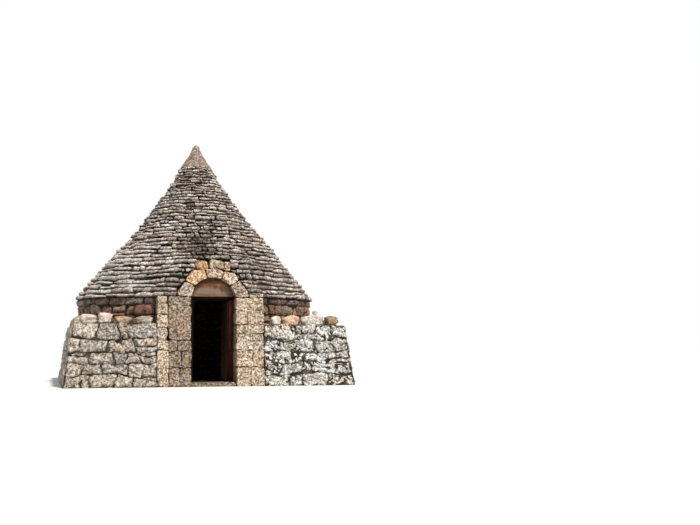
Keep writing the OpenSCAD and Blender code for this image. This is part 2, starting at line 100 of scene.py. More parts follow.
# Value noise from -1 to 1 at points of shape (..., 3): eased steps between random corners.
def softNoise(points, seed=0):
    cell = np.floor(points).astype(np.int64)
    f = points - cell
    f = f * f * (3 - 2 * f)
    total = 0.0
    for dx in (0, 1):
        for dy in (0, 1):
            for dz in (0, 1):
                weight = (np.abs(1 - dx - f[..., 0]) * np.abs(1 - dy - f[..., 1])
                          * np.abs(1 - dz - f[..., 2]))
                total = total + weight * cornerHash(cell[..., 0] + dx, cell[..., 1] + dy,
                                                    cell[..., 2] + dz, seed)
    return 2 * total - 1


# Sum of soft noises, each twice as fine and half as strong as the one before.
def roughNoise(points, octaves=4, seed=0):
    total = np.zeros(points.shape[:-1])
    for k in range(octaves):
        total += softNoise(points * 2 ** k + 17.3 * k, seed + k) * 0.5 ** k
    return total


# Corner numbers of a grid's quads, whose points lie row after row.
def gridQuads(rows, columns, closed=True):
    r, c = np.meshgrid(np.arange(rows - 1), np.arange(columns - 1 + closed), indexing="ij")
    after = (c + 1) % columns
    quads = np.stack([r * columns + c, r * columns + after,
                      (r + 1) * columns + after, (r + 1) * columns + c], axis=-1)
    return quads.reshape(-1, 4)


# Triangles that close a ringed body: from the first and the last ring to the two poles,
# which are the points after all rings.
def poleFans(rows, around):
    ring = np.arange(around)
    after = (ring + 1) % around
    last = (rows - 1) * around
    pole = np.full(around, rows * around)
    return np.concatenate([np.stack([pole, after, ring], axis=1),
                           np.stack([pole + 1, last + ring, last + after], axis=1)])


# The same faces again for each of many bodies with as many points each.
def forEach(count, perBody, faces):
    return (faces[None] + (np.arange(count) * perBody)[:, None, None]).reshape(-1, faces.shape[1])


# Puts arrays into a mesh object. Tint is a colour and joint a painted shade, one for each point.
def buildPiece(name, points, quads, triangles=None, tint=None, joint=None, smooth=True):
    if triangles is None:
        triangles = np.zeros((0, 3), int)
    mesh = bpy.data.meshes.new(name)
    points = points.reshape(-1, 3)
    corners = np.concatenate([quads.ravel(), triangles.ravel()]).astype(np.int32)
    starts = np.concatenate([np.arange(len(quads)) * 4,
                             len(quads) * 4 + np.arange(len(triangles)) * 3]).astype(np.int32)
    mesh.vertices.add(len(points))
    mesh.vertices.foreach_set("co", points.astype(np.float32).ravel())
    mesh.loops.add(len(corners))
    mesh.loops.foreach_set("vertex_index", corners)
    mesh.polygons.add(len(starts))
    mesh.polygons.foreach_set("loop_start", starts)
    mesh.polygons.foreach_set("use_smooth", np.full(len(starts), smooth))
    mesh.update(calc_edges=True)
    mesh.validate()
    if tint is None:
        tint = np.ones((len(points), 3))
    if joint is None:
        joint = np.zeros(len(points))
    colour = mesh.attributes.new("stoneTint", "FLOAT_COLOR", "POINT")
    opaque = np.pad(tint.reshape(-1, 3), ((0, 0), (0, 1)), constant_values=1)
    colour.data.foreach_set("color", opaque.astype(np.float32).ravel())
    dark = mesh.attributes.new("jointShade", "FLOAT", "POINT")
    dark.data.foreach_set("value", joint.astype(np.float32).ravel())
    piece = bpy.data.objects.new(name, mesh)
    bpy.context.collection.objects.link(piece)
    return piece


# One colour for each stone: a palette entry, made lighter or darker and a little warmer or cooler.
def pickTints(palette, count, rng, spread=0.1):
    colours = np.array([srgb(*c) for c in palette])[rng.integers(0, len(palette), count)]
    light = 1 + spread * rng.standard_normal((count, 1))
    warm = 1 + 0.03 * rng.standard_normal((count, 1)) * np.array([[1, 0, -1.2]])
    return np.clip(colours * light * warm, 0.02, 0.9)


# Stones from outlines

# Averages each outline point with its neighbours, which rounds the corners.
def roundOutlines(outlines, passes):
    for _ in range(passes):
        beside = np.roll(outlines, 1, axis=1) + np.roll(outlines, -1, axis=1)
        outlines = (outlines + 0.5 * beside) / 2
    return outlines


# Noise and shade shared by all stones
grit = {
    "scale": 9,              # noise features per metre
    "apart": 31.7,           # step through the noise from stone to stone
    "swayScale": 0.8,        # sideways noise is coarser
    "swayMiddle": 0.1,       # and weak in the middle of the face
    "knobSteep": 1.6,        # how steeply knobs rise from the creases
    # the next three set painted shade: in the creases, at the arris and on the sides
    "creaseHalf": 0.11,      # half width of a dark crease, in noise
    "arrisShade": 0.35,      # joint darkness at the arris,
    "sideShade": 0.65,       # and what the sides add
    "ringPower": 0.8,        # crowds the face's rings outwards
    "leastInner": 0.3,       # least share of the outline inside the arris
}


# Closed stones, all worked out at once. Each ring is the outline shrunk towards its middle.
# The face rings rise to the proud height as a rounded cushion, the side rings run back to the
# depth, and noise shifts every point. Where a soft noise crosses zero it leaves a crease between
# two knobs, darkened with painted shade, as are the arris and the sides. outlines: (stones,
# points, 2); place maps to metres. A style gives the arris's radius, the numbers of rings, the
# face's crown, the sides' taper, how far noise goes out (rough) and sideways (sway), and how
# deep (lump), fine (knobs) and dark with painted shade (crease) the creases are.
def stonesFromOutlines(outlines, proud, depth, place, style, seed):
    count, around = outlines.shape[:2]
    middle = outlines.mean(axis=1, keepdims=True)
    size = np.linalg.norm(outlines - middle, axis=2, keepdims=True)
    arris = style["arris"]
    faceRings = style["faceRings"]
    sideRings = style["sideRings"]
    # inner rings as shares of the outline, then rings round the arris, then the sides
    share = np.linspace(0, 1, faceRings + 1)[1:] ** grit["ringPower"]
    turn = np.linspace(0, 90, style["arrisRings"] + 1)[1:]
    rings = []
    heights = []
    shrunk = outlines - middle
    inner = np.clip(1 - arris / size, grit["leastInner"], 1)
    for s in share:
        rings.append(shrunk * inner * s)
        crown = style["crown"] * (1 - s ** 2)
        heights.append(np.ones((count, around)) * (proud[:, None] + crown))
    for a in turn:
        rings.append(shrunk * (inner + (1 - inner) * math.sin(math.radians(a))))
        heights.append(np.ones((count, around))
                       * (proud[:, None] - arris * (1 - math.cos(math.radians(a)))))
    for k in range(1, sideRings + 1):
        t = k / sideRings
        rings.append(shrunk * (1 - style["taper"] * t))
        heights.append(np.ones((count, around))
                       * (proud[:, None] - arris + (arris - proud[:, None] - depth[:, None]) * t))
    flat = np.stack(rings, axis=1) + middle[:, None]
    height = np.stack(heights, axis=1)
    number = flat.shape[1]
    local = np.concatenate([flat, height[..., None]], axis=-1)
    # rough outline and rough face; the back keeps still
    key = local * grit["scale"]
    key[..., 2] += grit["apart"] * np.arange(count)[:, None, None]
    fade = np.clip(1 - np.maximum(0, -height) / depth[:, None, None], 0, 1)
    local[..., 2] += style["rough"] * roughNoise(key, 4, seed) * fade
    knob = np.abs(roughNoise(key * style["knobs"] + 3.3, 2, seed + 5))
    local[..., 2] -= style["lump"] * np.clip(1 - grit["knobSteep"] * knob, 0, 1) * fade
    sway = style["sway"] * fade * np.linspace(grit["swayMiddle"], 1, number)[None, :, None]
    local[..., 0] += sway * roughNoise(key * grit["swayScale"] + 5.1, 3, seed + 11)
    local[..., 1] += sway * roughNoise(key * grit["swayScale"] + 9.7, 3, seed + 23)
    # poles at the middle of the face and of the back
    front = np.concatenate([middle[:, 0], (local[:, 0, :, 2].mean(axis=1)
                                           + 0.3 * style["crown"])[:, None]], axis=1)
    back = np.concatenate([middle[:, 0], -depth[:, None]], axis=1)
    points = np.concatenate([local.reshape(count, -1, 3), front[:, None], back[:, None]], axis=1)
    world = place(points[..., 0], points[..., 1], points[..., 2])
    world[..., 2] = np.maximum(world[..., 2], 0)
    step = np.arange(number)
    # painted shade: the arris and the sides, which lie in the joints, and the creases between
    # knobs are darkened
    edgeShade = ((step >= faceRings) * grit["arrisShade"]
                 + (step >= faceRings + style["arrisRings"]) * grit["sideShade"])
    crease = style["crease"] * np.clip(1 - knob / grit["creaseHalf"], 0, 1)
    joint = np.maximum(edgeShade[None, :, None], crease).reshape(count, -1)
    joint = np.concatenate([joint, np.zeros((count, 1)), np.ones((count, 1))], axis=1)
    perStone = number * around + 2
    return {"points": world, "perStone": perStone, "joint": joint.ravel(),
            "quads": forEach(count, perStone, gridQuads(number, around)[:, ::-1]),
            "triangles": forEach(count, perStone, poleFans(number, around)[:, ::-1])}


# Puts several groups of stones into one set of arrays, with a tint for each stone.
def joinStones(groups, tints):
    points, quads, triangles, tint, joint = [], [], [], [], []
    base = 0
    for group, colours in zip(groups, tints):
        flat = group["points"].reshape(-1, 3)
        points.append(flat)
        quads.append(group["quads"] + base)
        triangles.append(group["triangles"] + base)
        if colours.ndim == 2:
            colours = np.repeat(colours, group["perStone"], axis=0)
        tint.append(colours.reshape(-1, 3))
        joint.append(group["joint"])
        base += len(flat)
    return [np.concatenate(a) for a in (points, quads, triangles, tint, joint)]


# Groups of stones as one finished piece of the house, in place of the replaced nodes.
def stonePiece(name, groups, tints, material, replaced=()):
    points, quads, triangles, tint, joint = joinStones(groups, tints)
    piece = buildPiece(name, points, quads, triangles, tint, joint)
    piece.data.materials.append(material)
    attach(piece, "house")
    if replaced:
        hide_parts(*replaced)
    print(name, len(piece.data.polygons), "faces")


# Rubble laid in rows

laying = {
    "border": 0.14,          # the bend fades over this way to the face's borders
    "bendScale": 3.6,        # bends per metre
    "lean": 0.018,           # how far joints lean sideways
    "shortest": 0.7,         # a last stone may be this share of the shortest
    "splits": 0.12,          # share of places filled by two thin stones
    "cut": (0.35, 0.6),      # share of the row's height, at which they meet
    "waveScale": 2.3,        # waves of a row line per metre
}


# Bends the rows and joints with noise, less and less towards the face's own borders.
def bendOutlines(outlines, bend):
    flat = outlines.reshape(-1, 2)
    room = np.minimum(outlines - flat.min(axis=0), flat.max(axis=0) - outlines)
    fade = np.clip(room / laying["border"], 0, 1).min(axis=2)
    level = np.full(outlines.shape[:2] + (1,), 4.4)
    key = np.concatenate([outlines * laying["bendScale"], level], axis=2)
    shift = np.stack([roughNoise(key, 2, 27), 0.8 * roughNoise(key + 30, 2, 29)], axis=-1)
    return outlines + bend * shift * fade[..., None]


# Outlines of stones laid in rows. A stone is a row, its foot and head as shares of the row,
# and its two ends; ends lean a little, and the row lines wave.
def rowOutlines(stones, rowLine, perSide, gap, rounding, bend=0.0):
    s = np.array(stones, float)
    row, foot, head, left, right, leanLeft, leanRight = s.T
    t = np.linspace(0, 1, perSide, endpoint=False)[None]

    def height(u, share):
        low = rowLine(row[:, None], u)
        high = rowLine(row[:, None] + 1, u)
        return low + (high - low) * share

    def along(a, b, t):
        return a[:, None] + (b - a)[:, None] * t

    bottom = along(left - leanLeft, right - leanRight, t)
    top = along(right + leanRight, left + leanLeft, t)
    up = along(right - leanRight, right + leanRight, t)
    down = along(left + leanLeft, left - leanLeft, t)
    rise = foot[:, None] + (head - foot)[:, None] * t
    fall = head[:, None] + (foot - head)[:, None] * t
    u = np.concatenate([bottom, up, top, down], axis=1)
    v = np.concatenate([height(bottom, foot[:, None]), height(up, rise),
                        height(top, head[:, None]), height(down, fall)], axis=1)
    outlines = bendOutlines(np.stack([u, v], axis=-1), bend)
    outlines = roundOutlines(outlines, rounding)
    middle = outlines.mean(axis=1, keepdims=True)
    away = outlines - middle
    key = np.concatenate([outlines * 6, middle[..., :1] * 3 + 0 * outlines[..., :1]], axis=2)
    bite = gap * (1 + 0.9 * softNoise(key, 19))[..., None]
    return middle + away * np.clip(1 - bite / np.linalg.norm(away, axis=2, keepdims=True), 0.4, 1)


# Ends of stones of random lengths, stretched to fill the way from start to end.
def randomEdges(start, end, rng, lengths):
    edges = [0.0]
    while edges[-1] < (end - start) - lengths[0] * laying["shortest"]:
        edges.append(edges[-1] + rng.uniform(*lengths))
    return list(start + np.array(edges) / edges[-1] * (end - start))


# Stones between the edges of one row. Some of the wide ones are two thin ones, one on the
# other.
def stonesBetween(row, edges, lean, rng, chance, wide, highestCut):
    laid = []
    for a, b, la, lb in zip(edges[:-1], edges[1:], lean[:-1], lean[1:]):
        cuts = [0, 1]
        if b - a > wide and rng.random() < chance:
            cuts = [0, rng.uniform(laying["cut"][0], highestCut), 1]
        for foot, head in zip(cuts[:-1], cuts[1:]):
            laid.append((row, foot, head, a, b, la, lb))
    return laid


# Stones side by side in one row.
def layRow(row, start, end, lengths, rng, splits=laying["splits"]):
    edges = randomEdges(start, end, rng, lengths)
    lean = np.pad(rng.uniform(-laying["lean"], laying["lean"], len(edges) - 2), 1)
    return stonesBetween(row, edges, lean, rng, splits, 0, laying["cut"][1])


# Row lines: level heights that wave with soft noise. The lowest is kept level, and the
# highest wavers by its own amount.
def wavyRows(heights, wave, seed, crest=0.0):
    heights = np.array(heights)

    def line(row, u):
        level = np.interp(row, np.arange(len(heights)), heights)
        inside = (row > 0.5) & (row < len(heights) - 1.5)
        key = np.stack([u * laying["waveScale"], row * 7.7 + u * 0, u * 0 + 3.1], axis=-1)
        onTop = row >= len(heights) - 1
        rise = crest * onTop * (0.4 + softNoise(key * 2, seed))
        return level + wave * inside * softNoise(key, seed) + rise
    return line


# Materials

# A node with its settings, and its inputs as values or as outputs to link.
def nodeOf(tree, kind, inputs=None, **settings):
    node = tree.nodes.new(kind)
    for key, value in settings.items():
        setattr(node, key, value)
    for key, value in (inputs or {}).items():
        if isinstance(value, bpy.types.NodeSocket):
            tree.links.new(value, node.inputs[key])
        else:
            node.inputs[key].default_value = value
    return node


# A colour for a socket.
def rgba(colour):
    return (*srgb(*colour), 1)


# Fine or broad noise at a place.
def noiseOf(tree, where, scale, detail, roughness=0.5, distortion=0.0):
    return nodeOf(tree, "ShaderNodeTexNoise",
                  {"Vector": where, "Scale": scale, "Detail": detail, "Roughness": roughness,
                   "Distortion": distortion}).outputs["Fac"]


# Turns a value into a grey, by stops of place and grey.
def rampOf(tree, value, stops):
    node = nodeOf(tree, "ShaderNodeValToRGB", {"Fac": value})
    for k, (place, grey) in enumerate(stops):
        stop = node.color_ramp.elements[k] if k < 2 else node.color_ramp.elements.new(place)
        stop.position = place
        stop.color = (grey, grey, grey, 1)
    return node.outputs["Color"]


# Two colours mixed, each a link or three numbers.
def mixOf(tree, kind, factor, a, b):
    a, b = [c if isinstance(c, bpy.types.NodeSocket) else (*c, 1) for c in (a, b)]
    return nodeOf(tree, "ShaderNodeMix", {0: factor, 6: a, 7: b}, data_type="RGBA",
                  blend_type=kind).outputs[2]


# A sum, product or other result of one or two values.
def mathOf(tree, kind, a, b=0.0):
    return nodeOf(tree, "ShaderNodeMath", {0: a, 1: b}, operation=kind).outputs[0]


# An empty group with its inputs (one number, three for a vector, four for a colour), which
# puts out colour, roughness and height.
def groupOf(name, inputs):
    group = bpy.data.node_groups.new(name, "ShaderNodeTree")
    kinds = {1: "NodeSocketFloat", 3: "NodeSocketVector", 4: "NodeSocketColor"}
    for label, value in inputs.items():
        socket = group.interface.new_socket(label, in_out="INPUT",
                                            socket_type=kinds[np.size(value)])
        socket.default_value = value
    for label, size in (("Color", 4), ("Roughness", 1), ("Height", 1)):
        group.interface.new_socket(label, in_out="OUTPUT", socket_type=kinds[size])
    return group, group.nodes.new("NodeGroupInput").outputs


# Links a group's results to its outputs.
def closeGroup(group, colour, roughness, height):
    nodeOf(group, "NodeGroupOutput", {"Color": colour, "Roughness": roughness, "Height": height})
    return group


# Weathered limestone: mottled body, warm stain, grey film, pale and ochre lichen, small pits.
def makeWeatherGroup():
    group, given = groupOf("weatheredStone", {
        "Tint": (0.5, 0.5, 0.5, 1), "Joint": 0.0, "Joint Colour": (0.06, 0.045, 0.035, 1),
        "Stain Colour": (0.5, 0.3, 0.15, 1), "Stain": 0.3, "Lichen": 0.3, "Pits": 0.5,
        "Pit Scale": 34.0, "Film": 0.4})
    where = nodeOf(group, "ShaderNodeTexCoord").outputs["Object"]
    broad = noiseOf(group, where, 1.7, 4.0)
    mottle = noiseOf(group, where, 13.0, 7.0, 0.62)
    grain = noiseOf(group, where, 70.0, 4.0, 0.7)
    patch = noiseOf(group, where, 6.5, 6.0, 0.6, 0.6)
    spots = noiseOf(group, where, 26.0, 3.0)
    pores = noiseOf(group, where, given["Pit Scale"], 5.0, 0.72)
    holes = nodeOf(group, "ShaderNodeTexVoronoi", {"Vector": where, "Scale": given["Pit Scale"]})
    # body
    body = mixOf(group, "MULTIPLY", 1.0, given["Tint"],
                 rampOf(group, mottle, [(0.28, 0.5), (0.7, 1.38)]))
    body = mixOf(group, "MULTIPLY", 0.9, body, rampOf(group, grain, [(0.3, 0.6), (0.7, 1.3)]))
    # warm stain and grey film
    stainMask = mathOf(group, "MULTIPLY", given["Stain"],
                       rampOf(group, patch, [(0.46, 0.0), (0.66, 1.0)]))
    body = mixOf(group, "MIX", stainMask, body, given["Stain Colour"])
    filmMask = mathOf(group, "MULTIPLY", given["Film"],
                      rampOf(group, broad, [(0.45, 0.0), (0.66, 1.0)]))
    body = mixOf(group, "MULTIPLY", filmMask, body, (0.5, 0.49, 0.49))
    # lichen, pale or ochre
    lichenMask = mathOf(group, "MULTIPLY", given["Lichen"],
                        rampOf(group, spots, [(0.56, 0.0), (0.64, 1.0)]))
    lichenTone = mixOf(group, "MIX", rampOf(group, patch, [(0.42, 0.0), (0.6, 1.0)]),
                       srgb(214, 206, 196), srgb(182, 166, 132))
    body = mixOf(group, "MIX", lichenMask, body, lichenTone)
    # pores, and round cavities in the darker parts
    porous = rampOf(group, pores, [(0.4, 1.0), (0.5, 0.0)])
    cavity = mathOf(group, "MULTIPLY",
                    rampOf(group, holes.outputs["Distance"], [(0.1, 1.0), (0.34, 0.0)]),
                    rampOf(group, mottle, [(0.42, 1.0), (0.56, 0.0)]))
    pitMask = mathOf(group, "MULTIPLY", given["Pits"], mathOf(group, "MAXIMUM", porous, cavity))
    body = mixOf(group, "MULTIPLY", pitMask, body, (0.29, 0.23, 0.18))
    colour = mixOf(group, "MIX", given["Joint"], body, given["Joint Colour"])
    height = mathOf(group, "ADD", mottle, mathOf(group, "MULTIPLY", grain, 0.35))
    height = mathOf(group, "SUBTRACT", height, mathOf(group, "MULTIPLY", pitMask, 0.9))
    rough = mathOf(group, "ADD", mathOf(group, "MULTIPLY", grain, 0.15), 0.8)
    return closeGroup(group, colour, rough, height)


# A material with its tree and its shader, of a dull surface.
def startMaterial(name):
    material = bpy.data.materials.new(name)
    material.use_nodes = True
    tree = material.node_tree
    shader = tree.nodes["Principled BSDF"]
    shader.inputs["Specular IOR Level"].default_value = 0.25
    return material, tree, shader


# Links colour, roughness and bump into the shader.
def finishMaterial(tree, shader, colour, roughness, height, strength, distance):
    bump = nodeOf(tree, "ShaderNodeBump", {"Height": height, "Strength": strength,
                                           "Distance": distance})
    tree.links.new(colour, shader.inputs["Base Color"])
    tree.links.new(roughness, shader.inputs["Roughness"])
    tree.links.new(bump.outputs["Normal"], shader.inputs["Normal"])


weatherGroup = makeWeatherGroup()


# Stone whose body colour comes from the piece's own stoneTint and jointShade.
def stoneMaterial(name, look):
    material, tree, shader = startMaterial(name)
    tint = nodeOf(tree, "ShaderNodeAttribute", attribute_name="stoneTint").outputs["Color"]
    joint = nodeOf(tree, "ShaderNodeAttribute", attribute_name="jointShade").outputs["Fac"]
    where = nodeOf(tree, "ShaderNodeTexCoord").outputs["Object"]
    # dust fills the joints here and there and lightens their painted shade
    dust = rampOf(tree, noiseOf(tree, where, 4.0, 3.0), [(0.4, look["jointDark"] * 0.45),
                                                         (0.58, look["jointDark"])])
    stone = nodeOf(tree, "ShaderNodeGroup", {
        "Tint": tint, "Joint": mathOf(tree, "MULTIPLY", joint, dust),
        "Joint Colour": rgba(look["joint"]), "Stain Colour": rgba(look["stain"]),
        "Stain": look["stainAmount"], "Lichen": look["lichen"], "Pits": look["pits"],
        "Pit Scale": look["pitScale"], "Film": look["film"]}, node_tree=weatherGroup)
    finishMaterial(tree, shader, stone.outputs["Color"], stone.outputs["Roughness"],
                   stone.outputs["Height"], look["bump"], 0.02)
    return material


stoneLooks = {
    "slabStone": {"joint": (30, 24, 21), "jointDark": 0.95, "stain": (152, 130, 112),
                  "stainAmount": 0.25, "lichen": 0.5, "pits": 0.65, "pitScale": 36,
                  "film": 0.3, "bump": 1.0},
    "portalStone": {"joint": (74, 56, 42), "jointDark": 0.55, "stain": (186, 148, 108),
                    "stainAmount": 0.4, "lichen": 0.3, "pits": 1.0, "pitScale": 30,
                    "film": 0.1, "bump": 1.0},
    "baseStone": {"joint": (50, 41, 34), "jointDark": 0.95, "stain": (172, 152, 128),
                  "stainAmount": 0.25, "lichen": 0.6, "pits": 0.7, "pitScale": 26,
                  "film": 0.2, "bump": 1.0},
    "whiteStone": {"joint": (50, 43, 39), "jointDark": 0.97, "stain": (176, 166, 154),
                   "stainAmount": 0.2, "lichen": 0.5, "pits": 0.7, "pitScale": 26,
                   "film": 0.3, "bump": 1.0},
    "drumStone": {"joint": (48, 34, 28), "jointDark": 0.85, "stain": (168, 112, 80),
                  "stainAmount": 0.3, "lichen": 0.1, "pits": 0.6, "pitScale": 28,
                  "film": 0.25, "bump": 0.8},
    "copingStone": {"joint": (72, 62, 52), "jointDark": 0.2, "stain": (206, 168, 130),
                    "stainAmount": 0.2, "lichen": 0.3, "pits": 0.4, "pitScale": 30,
                    "film": 0.1, "bump": 0.8},
    "capMortar": {"joint": (90, 78, 66), "jointDark": 0.0, "stain": (176, 150, 126),
                  "stainAmount": 0.4, "lichen": 0.4, "pits": 0.5, "pitScale": 30,
                  "film": 0.15, "bump": 1.0},
}
stones = {name: stoneMaterial(name, look) for name, look in stoneLooks.items()}


# Rubble for the CAD nodes: rounded cells of stone with dark earth in their joints.
def rubbleMaterial(name, look):
    material, tree, shader = startMaterial(name)
    where = nodeOf(tree, "ShaderNodeTexCoord").outputs["Object"]
    warp = nodeOf(tree, "ShaderNodeTexNoise", {"Vector": where, "Scale": 3.0, "Detail": 3.0})
    bent = nodeOf(tree, "ShaderNodeMix", {0: 0.12, 4: where, 5: warp.outputs["Color"]},
                  data_type="VECTOR")
    cellPlace = nodeOf(tree, "ShaderNodeMapping", {"Vector": bent.outputs[1],
                                                   "Scale": look["cells"]}).outputs["Vector"]
    edge = nodeOf(tree, "ShaderNodeTexVoronoi", {"Vector": cellPlace, "Scale": 1.0},
                  feature="DISTANCE_TO_EDGE").outputs["Distance"]
    cell = nodeOf(tree, "ShaderNodeTexVoronoi", {"Vector": cellPlace, "Scale": 1.0})
    joint = rampOf(tree, edge, [(0.03, 1.0), (0.12, 0.0)])
    tone = mixOf(tree, "MIX", rampOf(tree, cell.outputs["Color"], [(0.2, 0.0), (0.8, 1.0)]),
                 srgb(*look["dark"]), srgb(*look["light"]))
    # painted shade: upright faces lie deep in the joints of the stones before them, so they are
    # darkened
    facing = nodeOf(tree, "ShaderNodeSeparateXYZ",
                    {"Vector": nodeOf(tree, "ShaderNodeNewGeometry").outputs["Normal"]})
    level = rampOf(tree, facing.outputs["Z"], [(0.4, look["sides"]), (0.8, 1.0)])
    stone = nodeOf(tree, "ShaderNodeGroup", {
        "Tint": mixOf(tree, "MULTIPLY", 1.0, tone, level), "Joint": joint,
        "Joint Colour": rgba(look["joint"]), "Stain Colour": rgba(look["stain"]),
        "Stain": 0.35, "Lichen": 0.1, "Pits": 0.5, "Pit Scale": 30.0, "Film": 0.2},
        node_tree=weatherGroup)
    bulge = rampOf(tree, edge, [(0.0, 0.0), (0.25, 1.0)])
    height = mathOf(tree, "ADD", mathOf(tree, "MULTIPLY", bulge, 2.5),
                    mathOf(tree, "MULTIPLY", stone.outputs["Height"], 0.6))
    finishMaterial(tree, shader, stone.outputs["Color"], stone.outputs["Roughness"], height,
                   0.8, 0.03)
    return material


# sides is the painted shade on upright faces, as a share of their colour
rubbleLooks = {
    "baseRubble": {"cells": (3.4, 3.4, 5.0), "dark": (92, 82, 70), "light": (146, 136, 118),
                   "joint": (46, 38, 31), "stain": (96, 80, 62), "sides": 0.3},
    "drumRubble": {"cells": (5.2, 5.2, 8.5), "dark": (74, 58, 47), "light": (108, 90, 75),
                   "joint": (30, 23, 19), "stain": (104, 76, 56), "sides": 0.7},
    "domeRubble": {"cells": (5.0, 5.0, 11.0), "dark": (62, 54, 46), "light": (92, 82, 70),
                   "joint": (26, 21, 18), "stain": (80, 66, 50), "sides": 1.0},
}
rubble = {name: rubbleMaterial(name, look) for name, look in rubbleLooks.items()}


# Wood grain: noise stretched along one way, darker late wood, fine checks and a worn film.
def makeGrainGroup():
    group, given = groupOf("woodGrain", {
        "Light": (0.4, 0.3, 0.2, 1), "Dark": (0.1, 0.07, 0.05, 1), "Worn": (0.4, 0.36, 0.32, 1),
        "Wear": 0.4, "Squeeze": (1.0, 1.0, 1.0)})
    place = nodeOf(group, "ShaderNodeTexCoord").outputs["Object"]
    along = nodeOf(group, "ShaderNodeVectorMath", {0: place, 1: given["Squeeze"]},
                   operation="MULTIPLY").outputs["Vector"]
    fibre = noiseOf(group, along, 9.0, 8.0, 0.65, 0.4)
    check = noiseOf(group, along, 34.0, 3.0)
    patch = noiseOf(group, along, 1.4, 5.0)
    body = mixOf(group, "MIX", rampOf(group, fibre, [(0.35, 0.0), (0.65, 1.0)]), given["Dark"],
                 given["Light"])
    wearMask = mathOf(group, "MULTIPLY", given["Wear"],
                      rampOf(group, patch, [(0.4, 0.0), (0.62, 1.0)]))
    body = mixOf(group, "MIX", wearMask, body, given["Worn"])
    crack = rampOf(group, check, [(0.3, 1.0), (0.4, 0.0)])
    body = mixOf(group, "MULTIPLY", crack, body, (0.3, 0.26, 0.24))
    height = mathOf(group, "SUBTRACT", fibre, mathOf(group, "MULTIPLY", crack, 0.8))
    rough = mathOf(group, "ADD", mathOf(group, "MULTIPLY", patch, 0.25), 0.6)
    return closeGroup(group, body, rough, height)


grainGroup = makeGrainGroup()


# Wood whose grain runs along one axis, because the pattern is squeezed across it. A rim of
# painted shadow from the arch, and of stain, darkens the boards close under the arch, by their
# distance from its centre.
def woodMaterial(name, look):
    material, tree, shader = startMaterial(name)
    shader.inputs["Specular IOR Level"].default_value = look["shine"]
    wood = nodeOf(tree, "ShaderNodeGroup", {
        "Light": rgba(look["light"]), "Dark": rgba(look["dark"]), "Worn": rgba(look["worn"]),
        "Wear": look["wear"], "Squeeze": look["squeeze"]}, node_tree=grainGroup)
    where = nodeOf(tree, "ShaderNodeTexCoord").outputs["Object"]
    place = nodeOf(tree, "ShaderNodeSeparateXYZ", {"Vector": where})
    up = mathOf(tree, "SUBTRACT", place.outputs["Z"], house["springZ"])
    reach = mathOf(tree, "SQRT", mathOf(
        tree, "ADD", mathOf(tree, "MULTIPLY", place.outputs["X"], place.outputs["X"]),
        mathOf(tree, "MULTIPLY", up, up)))
    # painted shadow of the arch, with stain, on the boards near its edge
    rim = rampOf(tree, reach, [(0.31, 1.0), (0.395, 1 - look["rim"])])
    finishMaterial(tree, shader, mixOf(tree, "MULTIPLY", 1.0, wood.outputs["Color"], rim),
                   wood.outputs["Roughness"], wood.outputs["Height"], 0.6, 0.006)
    return material


woodLooks = {
    # painted shade: the left post is coloured almost black, as in the doorway's shade
    "leftPostShadedWood": {"light": (24, 13, 10), "dark": (11, 6, 5), "worn": (34, 23, 19),
                     "wear": 0.3, "squeeze": (6, 6, 0.6), "rim": 0, "shine": 0.03},
    "rightPostWood": {"light": (70, 31, 21), "dark": (34, 14, 9), "worn": (78, 47, 36),
                      "wear": 0.3, "squeeze": (6, 6, 0.6), "rim": 0, "shine": 0.08},
    # painted shade: the transom is coloured nearly black, as it lies in the shadow under the
    # boards
    "transomShadedWood": {"light": (20, 9, 7), "dark": (9, 4, 3), "worn": (28, 18, 14),
                    "wear": 0.25, "squeeze": (0.6, 6, 6), "rim": 0, "shine": 0.02},
    "lowerBoardWood": {"light": (120, 95, 80), "dark": (66, 47, 38), "worn": (148, 126, 110),
                       "wear": 0.45, "squeeze": (0.4, 6, 7), "rim": 0.5, "shine": 0.2},
    "upperBoardWood": {"light": (134, 84, 54), "dark": (44, 24, 16), "worn": (204, 152, 106),
                       "wear": 0.75, "squeeze": (0.4, 6, 7), "rim": 0.75, "shine": 0.2},
    "leafWood": {"light": (66, 44, 33), "dark": (28, 17, 12), "worn": (86, 66, 52),
                 "wear": 0.45, "squeeze": (6, 6, 0.6), "rim": 0, "shine": 0.15},
}
woods = {name: woodMaterial(name, look) for name, look in woodLooks.items()}


# Iron with rust in patches, which are rough and no longer metal.
def ironMaterial():
    material, tree, shader = startMaterial("rustyIron")
    where = nodeOf(tree, "ShaderNodeTexCoord").outputs["Object"]
    patch = noiseOf(tree, where, 30.0, 6.0)
    colour = mixOf(tree, "MIX", rampOf(tree, patch, [(0.38, 0.0), (0.6, 1.0)]),
                   srgb(62, 56, 52), srgb(118, 66, 38))
    tree.links.new(rampOf(tree, patch, [(0.38, 0.8), (0.6, 0.0)]), shader.inputs["Metallic"])
    finishMaterial(tree, shader, colour, rampOf(tree, patch, [(0.3, 0.55), (0.6, 0.9)]), patch,
                   0.5, 0.002)
    return material


finishes = {**rubble, **woods, "rustyIron": ironMaterial()}
print("materials made")

